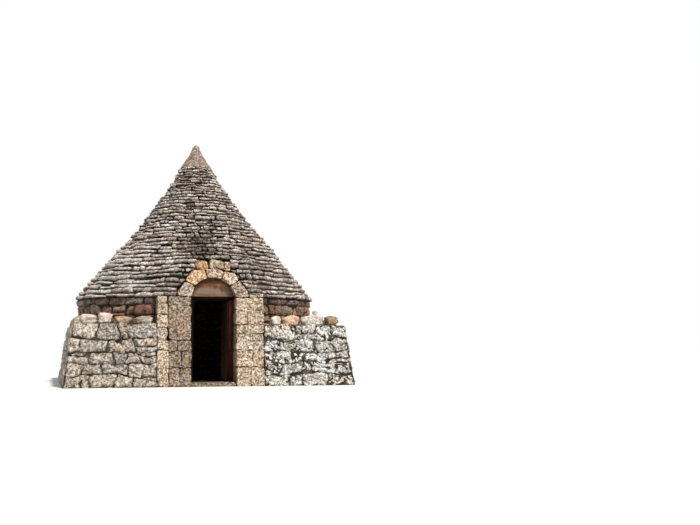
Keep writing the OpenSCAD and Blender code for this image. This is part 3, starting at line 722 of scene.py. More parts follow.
# Finishes of the CAD nodes that stay
nodeFinish = {
    "baseRubble": ["base_front_left", "base_front_right", "base_left", "base_right", "base_back"],
    "drumRubble": ["wall_front_left", "wall_front_right", "wall_left", "wall_right",
                   "wall_back_left", "wall_back_right"],
    "domeRubble": ["dome_lower", "dome_middle", "dome_upper", "dome_capstone"],
    "leftPostShadedWood": ["left_post"],
    "rightPostWood": ["right_post"],
    "transomShadedWood": ["transom"],
    "lowerBoardWood": ["tympanum_lower_board"],
    "upperBoardWood": ["tympanum_upper_board"],
    "leafWood": ["door_planks", "door_ledges"],
    "rustyIron": ["hinge_pintles", "strap_hinges"],
}
for finish, nodes in nodeFinish.items():
    for node in nodes:
        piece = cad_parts[node]
        piece.data.materials.clear()
        piece.data.materials.append(finishes[finish])


# Where the portal's front face, which leans back, stands at height z.
def frontY(z):
    return house["batter"] * z - house["baseHalf"]


# Portal stones: across, up, and out from the leaning front face.
def onPortal(u, v, out):
    return np.stack([u, frontY(v) - out, v], axis=-1)


# Roof outlines, as in the part's source
lastHeight = 2 * roof["height"] / roof["courses"] - roof["firstHeight"]


# Height of a course's foot: the courses get thinner evenly from the first to the last.
def courseZ(i):
    return (house["wallTop"] + i * roof["firstHeight"]
            + (lastHeight - roof["firstHeight"]) * i * (i - 1) / (2 * (roof["courses"] - 1)))


# Radius of a course: a straight line from eave to tip, less a shallow sine, and less a
# clipped sine that draws the upper half in.
def courseR(i):
    share = (courseZ(i + 1) - courseZ(1)) / (courseZ(roof["courses"]) - courseZ(1))
    upper = min(max((share - roof["waistFrom"]) / (1 - roof["waistFrom"]), 0), 1)
    waist = roof["waist"] * min(1.8 * math.sin(math.pi * upper), 1)
    return (roof["eaveR"] + (roof["topR"] - roof["eaveR"]) * share
            - roof["sag"] * math.sin(math.pi * share) - waist)


# How far the hood's front stands before the axis: with the portal's leaning face beside the
# arch stones, then back along a line to the cone.
def hoodFront(i):
    if i < roof["portalCourses"]:
        return -frontY(courseZ(i + 1)) - roof["hoodSetback"]
    start = hoodFront(roof["portalCourses"] - 1)
    end = courseR(roof["hoodCourses"] - 2) + roof["hoodLap"]
    share = (i - roof["portalCourses"] + 1) / (roof["hoodCourses"] - roof["portalCourses"])
    return start + (end - start) * share


# Points and outward normals of a course's edge, counted round from the back (+Y): a circle,
# and the hood's flat front with round corners and tangent sides where that reaches further.
def courseOutline(i, samples=1440):
    angle = np.linspace(-math.pi, math.pi, samples + 1)
    radius = np.full(angle.shape, courseR(i))
    if i < roof["hoodCourses"]:
        share = i / (roof["hoodCourses"] - 1)
        half = roof["hoodFootHalf"] + (roof["hoodHeadHalf"] - roof["hoodFootHalf"]) * share
        corner = roof["hoodFootCorner"] + (roof["hoodHeadCorner"] - roof["hoodFootCorner"]) * share
        front = hoodFront(i)
        inner = courseR(i) - roof["hoodBite"]
        x, y = half - corner, corner - front
        lean = math.atan2(y, x) + math.acos((inner - corner) / math.hypot(x, y))
        turn = np.linspace(lean, -math.pi / 2, 12)
        edgeX = np.concatenate([[inner * math.cos(lean)], x + corner * np.cos(turn)])
        edgeY = np.concatenate([[inner * math.sin(lean)], y + corner * np.sin(turn)])
        # straight stretches between the hood's points, met by a ray from the axis
        t = np.linspace(0, 1, 60)
        lineX = np.concatenate([edgeX[0] + (edgeX[1] - edgeX[0]) * t, edgeX[1:],
                                edgeX[-1] * (1 - t)])
        lineY = np.concatenate([edgeY[0] + (edgeY[1] - edgeY[0]) * t, edgeY[1:],
                                np.full(60, edgeY[-1])])
        ray = np.arctan2(lineX, -lineY)
        order = np.argsort(ray)
        hood = np.interp(np.abs(angle), ray[order], np.hypot(lineX, lineY)[order], right=0)
        radius = np.maximum(radius, hood)
    points = np.stack([radius * np.sin(angle), -radius * np.cos(angle)], axis=1)
    # the cone bows to one side and its tip leans to the other
    up = i / roof["courses"]
    points[:, 0] += (roof["bow"] * math.exp(-((up - roof["bowAt"]) / roof["bowSpread"]) ** 2)
                     - roof["lean"] * up ** 4)
    # outward normals, across the tangents
    tangent = np.gradient(points, axis=0)
    tangent[0] = tangent[-1] = tangent[0] + tangent[-1]
    tangent /= np.linalg.norm(tangent, axis=1, keepdims=True)
    normal = np.stack([tangent[:, 1], -tangent[:, 0]], axis=1)
    length = np.concatenate([[0], np.cumsum(np.linalg.norm(np.diff(points, axis=0), axis=1))])
    return points, normal, length


# The arch: voussoirs with start and end angles in degrees and their reach at start, middle
# and end, as shares of the arch's radius
voussoirs = {
    "right_springer": (-12, 38, 1.6, 1.6425, 1.5),
    "right_voussoir": (38, 68, 1.5, 1.5875, 1.4125),
    "keystone": (68, 104, 1.4125, 1.455, 1.4),
    "left_voussoir": (104, 145, 1.4, 1.62, 1.5),
    "left_springer": (145, 192, 1.5, 1.625, 1.5675),
}
# The stones above the arch from side to side, as shares of the arch's radius
overArchSpans = [(-0.7825, -0.2025), (-0.2025, 0.5175), (0.5175, 0.835)]
portalTop = courseZ(roof["portalCourses"])


# How far the arch stones reach from the centre at an angle in degrees, in metres.
def voussoirReach(angle):
    corners = []
    for start, end, a, b, c in sorted(voussoirs.values()):
        corners += [(start + 0.01, a), ((start + end) / 2, b), (end - 0.01, c)]
    corners = np.array(corners)
    return house["archR"] * np.interp(angle, corners[:, 0], corners[:, 1])


# How far the arch stones reach to a side (-1 left, 1 right) at height z.
def archEdge(z, side):
    angles = np.linspace(-12, 192, 409)
    reach = voussoirReach(angles)
    x = reach * np.cos(np.radians(angles)) * side
    height = house["springZ"] + reach * np.sin(np.radians(angles))
    near = np.abs(height - z) < 0.02
    edge = x[near].max() if near.any() else -9
    span = overArchSpans[0][0] * -1 if side < 0 else overArchSpans[2][1]
    if z > house["springZ"] + house["archR"] * 1.25:
        edge = max(edge, span * house["archR"] - slabs["reachIn"])
    return edge


# Roof slabs
slabs = {
    "lengthsLow": (0.12, 0.42),    # shortest and longest slab at the eave
    "lengthsHigh": (0.06, 0.2),    # and at the top
    "shorter": 0.45,               # how much shorter the slabs round the arch are,
    "shorterReach": 1.1,           # within this way from the front,
    "shorterCourses": 18,          # in so many courses
    "lean": 0.012,                 # how far their ends lean
    "archGap": 0.012,              # gap beside the arch stones
    "reachIn": 0.03,               # how far slabs reach behind the rounded stones over the arch
    "breakJoint": 0.5,             # least step from joint to joint, as a share of the shortest
    "endGap": (0.002, 0.034),      # narrowest and widest gap at a slab's end
    "depth": 0.13,
    "thickness": (0.5, 1.0),       # share of the course's height
    "wave": (0.028, 0.014),        # how far the lines wave up and down, at the eave and the top
    "out": (-0.034, 0.012),        # how far a slab lies behind or in front of its course
    "askew": 0.014,                # how far one end lies before the other
    "tilt": 0.06,                  # how far it slopes, as a share of the course's height
    "droop": 0.016,                # how far its front hangs
    "onSlab": 0.062,               # height of the slab on the pillar
    "rough": 0.02,                 # how far its face waves
    "endPull": 0.03,               # how far the ends draw back
    "endThin": 0.3,                # and how much thinner they are
    "settle": 0.7,                 # share of the slack that may lie under a slab
    "stations": 8,                 # sections along a slab
    "lightest": (0.88, 0.84, 0.79),
    "spread": 0.19,                # how much their lightness differs
    "palette": [(202, 186, 179), (178, 164, 159), (224, 210, 201), (148, 137, 133),
                (190, 173, 164), (238, 224, 213), (169, 152, 145), (208, 192, 176),
                (192, 184, 172)],
}
# Section of a slab, from the back of its bed up over its front: share of depth and share of
# height. Then the painted light there, dark on the back and underside and light on the upper
# front edge, and how dark its painted joint shade is.
slabSection = np.array([(1.0, 0.0), (0.3, 0.0), (0.09, 0.13), (0.0, 0.4), (0.03, 0.66),
                        (0.13, 0.88), (0.34, 1.0), (1.0, 1.0)])
slabPaintedLight = np.array([0.3, 0.32, 0.46, 0.8, 1.1, 1.44, 1.48, 0.9])
slabJointShade = np.array([1, 0.9, 0.3, 0, 0, 0, 0.15, 0.8])
# Patches of darker slabs, stained and grown with lichen, and of lighter ones below zero,
# which are painted light on the left flank: x, z, width and how dark
stainAndLightPatches = [(-0.72, 1.85, 0.24, 0.4), (-0.15, 2.52, 0.34, 0.85), (0.9, 2.1, 0.5, 0.15),
               (-1.6, 1.9, 0.65, -1.25), (-1.0, 2.75, 0.5, -0.3), (0.62, 2.05, 0.3, 0.4),
               (0.0, 4.1, 0.35, 0.16)]


# Height of a course's foot line: level, and waving softly round the cone.
def courseLine(i, angle):
    angle = np.asarray(angle, float)
    key = np.stack([np.cos(angle) * 3.2, np.sin(angle) * 3.2, angle * 0 + i * 2.7], axis=-1)
    fine = np.stack([np.cos(angle) * 9, np.sin(angle) * 9, angle * 0 + i * 5.3], axis=-1)
    wave = np.interp(i, (0, roof["courses"]), slabs["wave"]) * (i > 0)
    return courseZ(i) + wave * (softNoise(key, 3) + 0.5 * softNoise(fine, 4))


# Angles of the joints laid so far, by course
courseJoints = {}


# Slab ends round one course as places along its outline: foot and head of both ends. A joint
# that would stand close over one of the course below is moved aside.
def layCourse(i, rng):
    points, normal, length = courseOutline(i)
    total = length[-1]
    share = i / (roof["courses"] - 1)
    low = slabs["lengthsLow"][0] + (slabs["lengthsHigh"][0] - slabs["lengthsLow"][0]) * share
    high = slabs["lengthsLow"][1] + (slabs["lengthsHigh"][1] - slabs["lengthsLow"][1]) * share
    runs = []
    if i < roof["portalCourses"]:
        # one run, from the arch's right side round the back to its left side
        front = (np.abs(points[:, 0]) < 1.3) & (points[:, 1] < 0)
        order = np.argsort(points[front, 0])
        acrossX = points[front, 0][order]
        acrossS = length[front][order]
        ends = {}
        for side in (-1, 1):
            for level in (0, 1):
                x = side * (archEdge(courseZ(i + level), side) + slabs["archGap"])
                ends[side, level] = np.interp(x, acrossX, acrossS)
        begin = ends[1, 0], ends[1, 1]
        if i == 0:
            slabEnd = np.interp(house["jambRight"] + 0.02, acrossX, acrossS)
            runs.append((*begin, slabEnd, slabEnd))
            begin = slabEnd, slabEnd
        runs.append((*begin, total + ends[-1, 0], total + ends[-1, 1]))
    else:
        seam = total * rng.random()
        runs.append((seam, seam, total + seam, total + seam))
    slabsLaid = []
    for startFoot, startHead, endFoot, endHead in runs:
        start, end = (startFoot + startHead) / 2, (endFoot + endHead) / 2
        edges = [0.0]
        while edges[-1] < (end - start) - low * 0.8:
            # the front lies half way round the outline
            ahead = ((start + edges[-1]) % total - total / 2) / slabs["shorterReach"]
            short = slabs["shorter"] * math.exp(-ahead ** 2) * (i < slabs["shorterCourses"])
            edges.append(edges[-1] + rng.uniform(low, high) * (1 - short))
        if len(edges) == 1:
            edges.append(1.0)
        edges = start + np.array(edges) / edges[-1] * (end - start)
        x = np.interp(edges % total, length, points[:, 0])
        y = np.interp(edges % total, length, points[:, 1])
        if i > 0:
            away = (np.arctan2(x, -y)[:, None] - courseJoints[i - 1] + math.pi) % (2 * math.pi)
            away = (away - math.pi) * np.hypot(x, y)[:, None]
            nearest = away[np.arange(len(away)), np.abs(away).argmin(axis=1)][1:-1]
            room = 0.35 * np.minimum(np.diff(edges)[1:], np.diff(edges)[:-1])
            shift = np.sign(nearest) * np.maximum(slabs["breakJoint"] * low - np.abs(nearest), 0)
            edges[1:-1] += np.clip(shift, -room, room)
        lean = rng.uniform(-slabs["lean"], slabs["lean"], len(edges))
        foot, head = edges - lean, edges + lean
        foot[0], head[0], foot[-1], head[-1] = startFoot, startHead, endFoot, endHead
        # the short run of the first course lies on the pillar's slab
        raised = np.full(len(edges) - 1, float(len(runs) == 2 and len(edges) == 2))
        slabsLaid.append(np.stack([foot[:-1], head[:-1], foot[1:], head[1:], raised], axis=1))
    laid = np.concatenate(slabsLaid)
    where = laid[:, 0] % total
    courseJoints[i] = np.arctan2(np.interp(where, length, points[:, 0]),
                                 -np.interp(where, length, points[:, 1]))
    return laid, points, normal, length


# All slabs of one course at once. A slab is a section carried along the outline: its ends
# pull in, its front waves, and it lies a little askew.
def courseSlabs(i, rng):
    laid, outline, normal, length = layCourse(i, rng)
    count = len(laid)
    # stations crowd at the ends
    t = np.linspace(0, 1, slabs["stations"])
    t = 0.5 - 0.5 * np.sign(1 - 2 * t) * np.abs(1 - 2 * t) ** 0.75
    back, up = slabSection.T
    along = t[None, :, None]
    loose = 1 - back[None, None]
    narrow, wide = slabs["endGap"]
    gap = narrow + (wide - narrow) * rng.random((count, 2)) ** 3
    left = laid[:, 0, None] + (laid[:, 1] - laid[:, 0])[:, None] * up[None] + gap[:, :1]
    right = laid[:, 2, None] + (laid[:, 3] - laid[:, 2])[:, None] * up[None] - gap[:, 1:]
    s = (left[:, None] + (right - left)[:, None] * along) % length[-1]
    px, py = [np.interp(s, length, outline[:, k]) for k in (0, 1)]
    nx, ny = [np.interp(s, length, normal[:, k]) for k in (0, 1)]
    # half way to a straight slab between its ends
    px, py = [(p + p[:, :1] + (p[:, -1:] - p[:, :1]) * along) / 2 for p in (px, py)]
    angle = np.arctan2(px, -py)
    foot = courseLine(i, angle)
    head = courseLine(i + 1, angle)
    room = head - foot - laid[:, 4][:, None, None] * slabs["onSlab"]
    thin, thick = slabs["thickness"]
    thickness = thin + (thick - thin) * rng.random((count, 1, 1)) ** 0.6
    endness = (rng.random((count, 1, 1)) * (1 - along) ** 6
               + rng.random((count, 1, 1)) * along ** 6)
    tall = room * thickness * (1 - slabs["endThin"] * endness)
    settle = rng.uniform(0.0, slabs["settle"], (count, 1, 1))
    tilt = rng.uniform(-slabs["tilt"], slabs["tilt"], (count, 1, 1)) * (along - 0.5)
    z = head - room + (room - tall) * settle + tall * up[None, None] + tilt * (head - foot)
    z = z - slabs["droop"] * loose * rng.uniform(0, 1, (count, 1, 1)) * (i > 0)
    out = rng.uniform(*slabs["out"], (count, 1, 1))
    askew = rng.uniform(-slabs["askew"], slabs["askew"], (count, 1, 1)) * (2 * along - 1)
    key = np.stack([px * 8, py * 8, z * 8 + i], axis=-1)
    fine = np.stack([px * 27, py * 27, z * 30], axis=-1)
    rough = slabs["rough"] * (softNoise(key, 7) + 0.6 * softNoise(fine, 8))
    inward = slabs["depth"] * back[None, None] ** 1.2
    reach = out + askew - inward - (slabs["endPull"] * endness - rough) * loose
    z = z + 0.5 * slabs["rough"] * softNoise(fine * 1.2 + 40, 9) * loose
    points = np.stack([px + nx * reach, py + ny * reach, z], axis=-1)
    stations, around = points.shape[1:3]
    # the two ends are closed by three quads each
    caps = np.array([(0, 1, 6, 7), (1, 2, 5, 6), (2, 3, 4, 5)])
    quads = np.concatenate([gridQuads(stations, around), caps[:, ::-1],
                            (stations - 1) * around + caps])
    tint = pickTints(slabs["palette"], count, rng, slabs["spread"])
    middle = points[:, stations // 2, 3]
    # stains darken the slabs, and a strength below zero paints light on them
    for x, height, width, strength in stainAndLightPatches:
        near = np.exp(-((middle[:, 0] - x) ** 2 + (middle[:, 2] - height) ** 2) / width ** 2)
        tint = tint * (1 - strength * near * (middle[:, 1] < 0))[:, None]
    # painted light and shade along the section: the upper front edge lit, the back and underside
    # shaded
    paintedLight = np.tile(slabPaintedLight, stations)[None, :, None]
    tint = np.minimum(tint[:, None] * paintedLight, slabs["lightest"])
    perStone = stations * around
    return {"points": points, "perStone": perStone,
            "joint": np.tile(slabJointShade, stations * count),
            "quads": forEach(count, perStone, quads),
            "triangles": np.zeros((0, 3), int)}, tint


for bandName, (first, last) in roof["bands"].items():
    rng = np.random.default_rng(100 + first)
    groups, tints = zip(*[courseSlabs(i, rng) for i in range(first, last)])
    stonePiece(bandName, groups, tints, stones["slabStone"],
               roof["replaced"][bandName])


# Packing behind the slabs, dark as painted shade in the gaps between them: a stepped sheet
# inside the courses, open round the arch.
def makeRoofCore():
    edges = []
    for i in range(roof["courses"]):
        points, normal, _ = courseOutline(i, 192)
        inside = points - normal * roof["coreRecess"]
        for z in (courseZ(i), courseZ(i + 1)):
            edges.append(np.pad(inside, ((0, 0), (0, 1)), constant_values=z))
    edges = np.array(edges)
    quads = gridQuads(*edges.shape[:2], closed=False)
    centre = edges.reshape(-1, 3)[quads].mean(axis=1)
    above = centre[:, 2] - house["springZ"]
    angles = np.degrees(np.arctan2(above, centre[:, 0]))
    openZ, openX = roof["coreOpen"]
    inArch = ((np.hypot(above, centre[:, 0]) < voussoirReach(np.clip(angles, -12, 192)))
              | ((centre[:, 2] > openZ) & (np.abs(centre[:, 0]) < openX)))
    hidden = inArch & (centre[:, 1] < 0) & (centre[:, 2] < portalTop)
    core = buildPiece("roofCore", edges, quads[~hidden][:, ::-1], smooth=False)
    core.data.materials.append(rubble["domeRubble"])
    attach(core, "house")


makeRoofCore()
print("roof laid")


# Mortar cap
cap = {
    "footR": 0.314,
    "bed": (0.25, 0.3),      # radii of the underside's rings,
    "bedZ": -0.012,          # which lies in the highest course
    "skirt": 0.014,          # height of the upright foot
    "height": 0.49,
    "tipR": 0.06,
    "sag": 0.028,            # how far the flank sags inside a straight line
    "hang": 0.06,            # how far the foot hangs down here and there
    "spread": 0.55,          # and spreads out, as a share of that
    "rough": 0.016,
    "around": 110,
    "flankRings": 34,
    "mortar": (157, 139, 126),
    "tip": (178, 174, 128),  # lichen
}


# A turned shape: a foot that hangs down here and there, hollow flank (a line less a sine) and
# round tip, roughened with noise.
def makeCap():
    footZ = courseZ(roof["courses"])
    tip = cap["tipR"]
    turn = np.radians(np.linspace(20, 88, 9))
    flank = np.linspace(cap["footR"] - 0.008, tip * 1.15, cap["flankRings"])
    flank -= cap["sag"] * np.sin(np.linspace(0, math.pi, cap["flankRings"]))
    radius = np.concatenate([cap["bed"], [cap["footR"] - 0.006, cap["footR"]], flank,
                             tip * np.cos(turn)])[:, None]
    height = np.concatenate([[cap["bedZ"], cap["bedZ"], 0.0, cap["skirt"]],
                             np.linspace(cap["skirt"] + 0.012, cap["height"] - tip * 0.8,
                                         cap["flankRings"]),
                             cap["height"] - tip * (1 - np.sin(turn))])[:, None]
    angle = np.arange(cap["around"]) / cap["around"] * 2 * math.pi
    ringKey = np.stack([np.cos(angle), np.sin(angle), 0 * angle], axis=-1)
    hang = cap["hang"] * np.clip(0.35 + 1.2 * softNoise(ringKey * 5, 57), 0, 1)
    low = np.interp(height, [0, cap["skirt"] + 0.03], [1, 0]) * (radius > cap["bed"][1])
    wide = radius + cap["spread"] * hang * low
    z = height - hang * low + footZ
    key = np.stack([wide * np.cos(angle), wide * np.sin(angle), z], axis=-1)
    swell = cap["rough"] * (roughNoise(key * 14, 4, 51) - 0.35) * (height >= 0)
    points = np.stack([(wide + swell) * np.cos(angle), (wide + swell) * np.sin(angle),
                       z + 0.3 * np.abs(swell) * (height < 0.3)], axis=-1)
    poles = np.array([[0, 0, footZ + cap["bedZ"]], [0, 0, footZ + cap["height"]]])
    flat = np.concatenate([points.reshape(-1, 3), poles])
    flat[:, 0] -= roof["lean"]
    # yellowish lichen on the tip, and lighter and darker trowelled patches
    tint = srgb(*cap["mortar"]) * (1 + 0.35 * roughNoise(flat * 22, 3, 53))[:, None]
    share = np.clip((flat[:, 2] - footZ - cap["height"] * 0.8) / 0.07, 0, 1)[:, None]
    tint = tint * (1 - share) + srgb(*cap["tip"]) * share
    piece = buildPiece("capMortar", flat, gridQuads(*points.shape[:2]),
                       poleFans(*points.shape[:2]), tint)
    piece.data.materials.append(stones["capMortar"])
    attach(piece, "house")
    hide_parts("mortar_cap")


makeCap()

# Portal stones
portal = {
    "back": 0.47,           # depth of a block behind the front face
    "sillBack": 0.52,       # and of the threshold
    "proud": (-0.006, 0.008),       # how far blocks stand before the face,
    "sillProud": -0.018,            # the threshold
    "slabProud": 0.012,             # and the slab on the pillar
    "style": {"arris": 0.014, "faceRings": 10, "arrisRings": 3, "sideRings": 4, "crown": 0.006,
              "taper": 0.0, "rough": 0.012, "sway": 0.022, "lump": 0.013, "knobs": 2.0,
              "crease": 0.4},
    "gap": 0.002,           # half a joint,
    "inset": 0.45,          # and between arch stones in degrees
    "around": 96,           # points round a block
    "rounding": 6,          # passes that round its corners:
    "archRounding": 12,     # the arch stones are rounder,
    "overRounding": 34,     # and those above it rounder still
    # tops of the rows as shares of the wall's height, and where two blocks meet, if any do
    "leftRows": [(0.206, 0.525), (0.3875, 0.4375), (0.5125, 0.6175), (0.9, 0), (1, 0)],
    "rightRows": [(0.2125, 0.51), (0.4, 0.588), (0.5875, 0.588), (0.6875, 0), (0.856, 0.4255),
                  (1, 0)],
    "pillarRows": [0.206, 0.4, 0.5125, 0.65, 0.797, 0.925, 1],
    "leftPalette": [(164, 144, 126), (154, 139, 125), (178, 157, 139)],
    "rightPalette": [(226, 204, 180), (216, 196, 175), (230, 210, 188)],
    "spreads": (0.07, 0.06, 0.08),  # lightness of left jamb, right jamb and pillar
    "impost": (160, 151, 138),      # highest block of the left jamb
    "sill": (168, 156, 138),
    "slab": (208, 196, 176),
    "slabAt": (0.662, 0.92),    # the slab on the pillar, from side to side,
    "slabTop": 0.057,           # its height and its depth
    "slabBack": 0.2,
}


# Points at even steps along a closed outline.
def resample(corners, number):
    corners = np.asarray(corners, float)
    closed = np.concatenate([corners, corners[:1]])
    length = np.concatenate([[0], np.cumsum(np.linalg.norm(np.diff(closed, axis=0), axis=1))])
    s = np.linspace(0, length[-1], number, endpoint=False)
    return np.stack([np.interp(s, length, closed[:, 0]), np.interp(s, length, closed[:, 1])],
                    axis=1)


# Corners of a block less its joints, and none on the ground.
def blockCorners(x0, x1, z0, z1):
    g = portal["gap"]
    low = z0 + (0 if z0 == 0 else g)
    return [(x0 + g, low), (x1 - g, low), (x1 - g, z1 - g), (x0 + g, z1 - g)]


# A piece of dressed stones. Noise draws knobbly outlines in, by up to the share given.
def portalStones(name, outlines, colours, replaced, depth, seed, proud=0.0, rounding=None,
                 knobbly=0.0):
    outlines = np.array([resample(o, portal["around"]) for o in outlines])
    outlines = roundOutlines(outlines, rounding or portal["rounding"])
    middle = outlines.mean(axis=1, keepdims=True)
    key = np.concatenate([outlines * 9, seed + 0 * outlines[..., :1]], axis=2)
    drawn = 1 - knobbly * (0.5 + softNoise(key, 5))[..., None]
    rng = np.random.default_rng(seed)
    out = proud + rng.uniform(*portal["proud"], len(outlines))
    group = stonesFromOutlines(middle + (outlines - middle) * drawn, out,
                               np.full(len(outlines), depth), onPortal, portal["style"], seed)
    stonePiece(name, [group], [colours], stones["portalStone"], replaced)


# Rectangles of one jamb, rows from the ground up, mirrored for the left side.
def jambBlocks(rows, width, side):
    blocks = []
    foot = 0.0
    for share, split in rows:
        head = share * house["wallTop"]
        a, b = house["archR"], house["archR"] + width
        cuts = [a, b] if split == 0 else [a, a + split * width, b]
        for x0, x1 in zip(cuts[:-1], cuts[1:]):
            x0, x1 = (x0, x1) if side > 0 else (-x1, -x0)
            blocks.append(blockCorners(x0, x1, foot, head))
        foot = head
    return blocks


# Both jambs, the pillar and the threshold.
def makeJambs():
    rng = np.random.default_rng(31)
    back = portal["back"]
    left = jambBlocks(portal["leftRows"], -house["jambLeft"] - house["archR"], -1)
    right = jambBlocks(portal["rightRows"], house["jambRight"] - house["archR"], 1)
    tint = pickTints(portal["leftPalette"], len(left), rng, portal["spreads"][0])
    tint[-1] = srgb(*portal["impost"])
    portalStones("leftJambStones", left, tint, ("left_jamb",), back, 32)
    tint = pickTints(portal["rightPalette"], len(right), rng, portal["spreads"][1])
    portalStones("rightJambStones", right, tint, ("right_jamb",), back, 33)
    pillar = []
    foot = 0.0
    for share in portal["pillarRows"]:
        head = share * house["wallTop"]
        inner = house["deepJoint"] if share > portal["leftRows"][2][0] else 0
        pillar.append(blockCorners(house["pillarLeft"], house["jambLeft"] - inner, foot, head))
        foot = head
    tint = pickTints(portal["rightPalette"], len(pillar), rng, portal["spreads"][2])
    portalStones("pillarStones", pillar, tint, ("left_pillar",), back, 34)
    half = house["archR"] - portal["gap"]
    top = house["thresholdTop"]
    portalStones("thresholdStone", [[(-half, 0.0), (half, 0.0), (half, top), (-half, top)]],
                 pickTints([portal["sill"]], 1, rng), ("threshold",),
                 portal["sillBack"], 35, proud=portal["sillProud"])


# A point of the arch, by its share of the arch's radius and its angle.
def onArch(share, degrees):
    a = math.radians(degrees)
    r = house["archR"] * share
    return r * math.cos(a), house["springZ"] + r * math.sin(a)


# An arch stone: along the arch, out along one joint, over its back and in again.
def voussoirCorners(cut):
    start, end, a, b, c = cut
    inset = portal["inset"]
    steps = np.linspace(end - inset, start + inset, 10)
    corners = [onArch(a, start + inset), onArch(b, (start + end) / 2), onArch(c, end - inset)]
    corners += [onArch(1.0, s) for s in steps]
    low = house["wallTop"] + portal["gap"]
    corners = np.array(corners)
    if (corners[:, 1] < low).any():
        # cut off level on the jamb
        kept = []
        for p, q in zip(corners, np.roll(corners, -1, axis=0)):
            if p[1] >= low:
                kept.append(tuple(p))
            if (p[1] < low) != (q[1] < low):
                t = (low - p[1]) / (q[1] - p[1])
                kept.append((p[0] + (q[0] - p[0]) * t, low))
        corners = np.array(kept)
    return corners


# A stone above the arch: upright sides, and a foot that follows the arch stones.
def overArchCorners(span, heads):
    gap = portal["gap"]
    x = np.linspace(span[0] * house["archR"] + gap, span[1] * house["archR"] - gap, 16)
    angles = np.linspace(165, 15, 601)
    reach = voussoirReach(angles) + gap * 2
    edgeX = reach * np.cos(np.radians(angles))
    edgeZ = house["springZ"] + reach * np.sin(np.radians(angles))
    foot = np.minimum(np.interp(x, edgeX, edgeZ), portalTop - 0.03)
    return [(x[0] + heads[2], portalTop - heads[0]), *zip(x, foot),
            (x[-1] + heads[2], portalTop - heads[1])]


arch = {
    "tints": {"right_springer": (208, 190, 170), "right_voussoir": (240, 220, 199),
              "keystone": (224, 198, 170), "left_voussoir": (242, 202, 162),
              "left_springer": (210, 194, 176)},
    "overTints": [(208, 166, 126), (202, 184, 160), (212, 178, 154)],
    # drop of their heads' two ends, and how far the heads stand aside
    "heads": [(0.006, 0.03, -0.022), (0.0, 0.03, 0.012), (0.035, 0.055, -0.012)],
    "knobbly": 0.05,         # how far noise draws their outlines in, as a share
    "back": 0.5,             # depth of the arch stones and of those above
    "overBack": 0.44,
    "proud": 0.004,          # how far they stand before the face
    "overProud": -0.01,
}


# The five arch stones, those above them, and the slab on the pillar.
def makeArch():
    for seed, (name, cut) in enumerate(voussoirs.items()):
        tint = np.array([srgb(*arch["tints"][name])])
        first, *rest = name.split("_")
        pieceName = first + "".join(rest).title() + "Stone"
        portalStones(pieceName, [voussoirCorners(cut)], tint, (name,),
                     arch["back"], 41 + seed, proud=arch["proud"],
                     rounding=portal["archRounding"], knobbly=arch["knobbly"])
    tint = np.array([srgb(*c) for c in arch["overTints"]])
    corners = [overArchCorners(s, h) for s, h in zip(overArchSpans, arch["heads"])]
    portalStones("overArchStones", corners, tint, ("over_arch_stones",),
                 arch["overBack"], 51, proud=arch["overProud"],
                 rounding=portal["overRounding"], knobbly=2 * arch["knobbly"])
    left, right = portal["slabAt"]
    low = house["wallTop"] + portal["gap"]
    top = house["wallTop"] + portal["slabTop"]
    portalStones("pillarSlab", [[(left, low), (right, low), (right, top), (left, top)]],
                 np.array([srgb(*portal["slab"])]), ("pillar_slab",),
                 portal["slabBack"], 52, proud=portal["slabProud"])


makeJambs()
makeArch()
print("portal laid")

# Base block's rubble
base = {
    "heights": [0.0, 0.21, 0.42, 0.62, 0.84, 1.09],     # of the lines between the rows
    "lengths": (0.16, 0.62),
    "wave": 0.05,           # how far these lines wave,
    "crest": 0.03,          # and how far the top line wavers
    "lean": 0.05,           # how far the joints lean sideways
    "splits": 0.22,         # share of wide places filled by two thin stones
    "wide": 0.24,
    "highestCut": 0.65,     # share of the row's height, at which they may meet
    "proud": (0.022, 0.04),  # how far stones stand before the wall's face
    "depth": 0.07,          # and how deep they reach into it
    "spread": 0.09,         # how much the colours differ in lightness
    "cornerFrom": 1.6,      # beyond this the ends lean in with the block's corners
    "gap": 0.006,           # how far joints bite into the outlines
    "bend": 0.05,           # how far noise bends rows and joints
    "style": {"arris": 0.034, "faceRings": 6, "arrisRings": 3, "sideRings": 1, "crown": 0.014,
              "taper": 0.06, "rough": 0.013, "sway": 0.02, "lump": 0.03, "knobs": 1.0,
              "crease": 0.5},
    "frontStyle": {"arris": 0.034, "faceRings": 11, "arrisRings": 4, "sideRings": 1,
                   "crown": 0.012, "taper": 0.06, "rough": 0.013, "sway": 0.024, "lump": 0.03,
                   "knobs": 1.1, "crease": 0.5},
    "whiteStyle": {"arris": 0.034, "faceRings": 12, "arrisRings": 4, "sideRings": 1,
                   "crown": 0.01, "taper": 0.06, "rough": 0.018, "sway": 0.03, "lump": 0.042,
                   "knobs": 1.5, "crease": 0.7},
    "palette": [(214, 205, 194), (196, 187, 177), (228, 219, 208), (184, 175, 167),
                (212, 197, 181), (206, 195, 184)],
    # painted shade: the palette above made darker for the front left, as in the shade of leaves
    "leftPalette": [(200, 191, 180), (184, 175, 165), (213, 203, 191), (172, 163, 155),
                    (198, 183, 167), (192, 181, 170)],
    "whitePalette": [(250, 245, 238), (238, 233, 227), (230, 224, 217), (252, 248, 241)],
    # joints of the two runs in front, row by row from the ground up
    "leftJoints": [[-2.16, -1.72, -1.42], [-2.3, -1.98, -1.5, -1.26], [-2.2, -1.83, -1.55, -1.3],
                   [-2.4, -1.95, -1.62, -1.37], [-2.14, -1.78, -1.52]],
    "rightJoints": [[1.38, 1.62, 2.1], [1.2, 1.65, 1.83, 2.3], [1.42, 1.7, 2.15],
                    [1.16, 1.6, 1.92, 2.28], [1.5, 1.98, 2.3]],
}


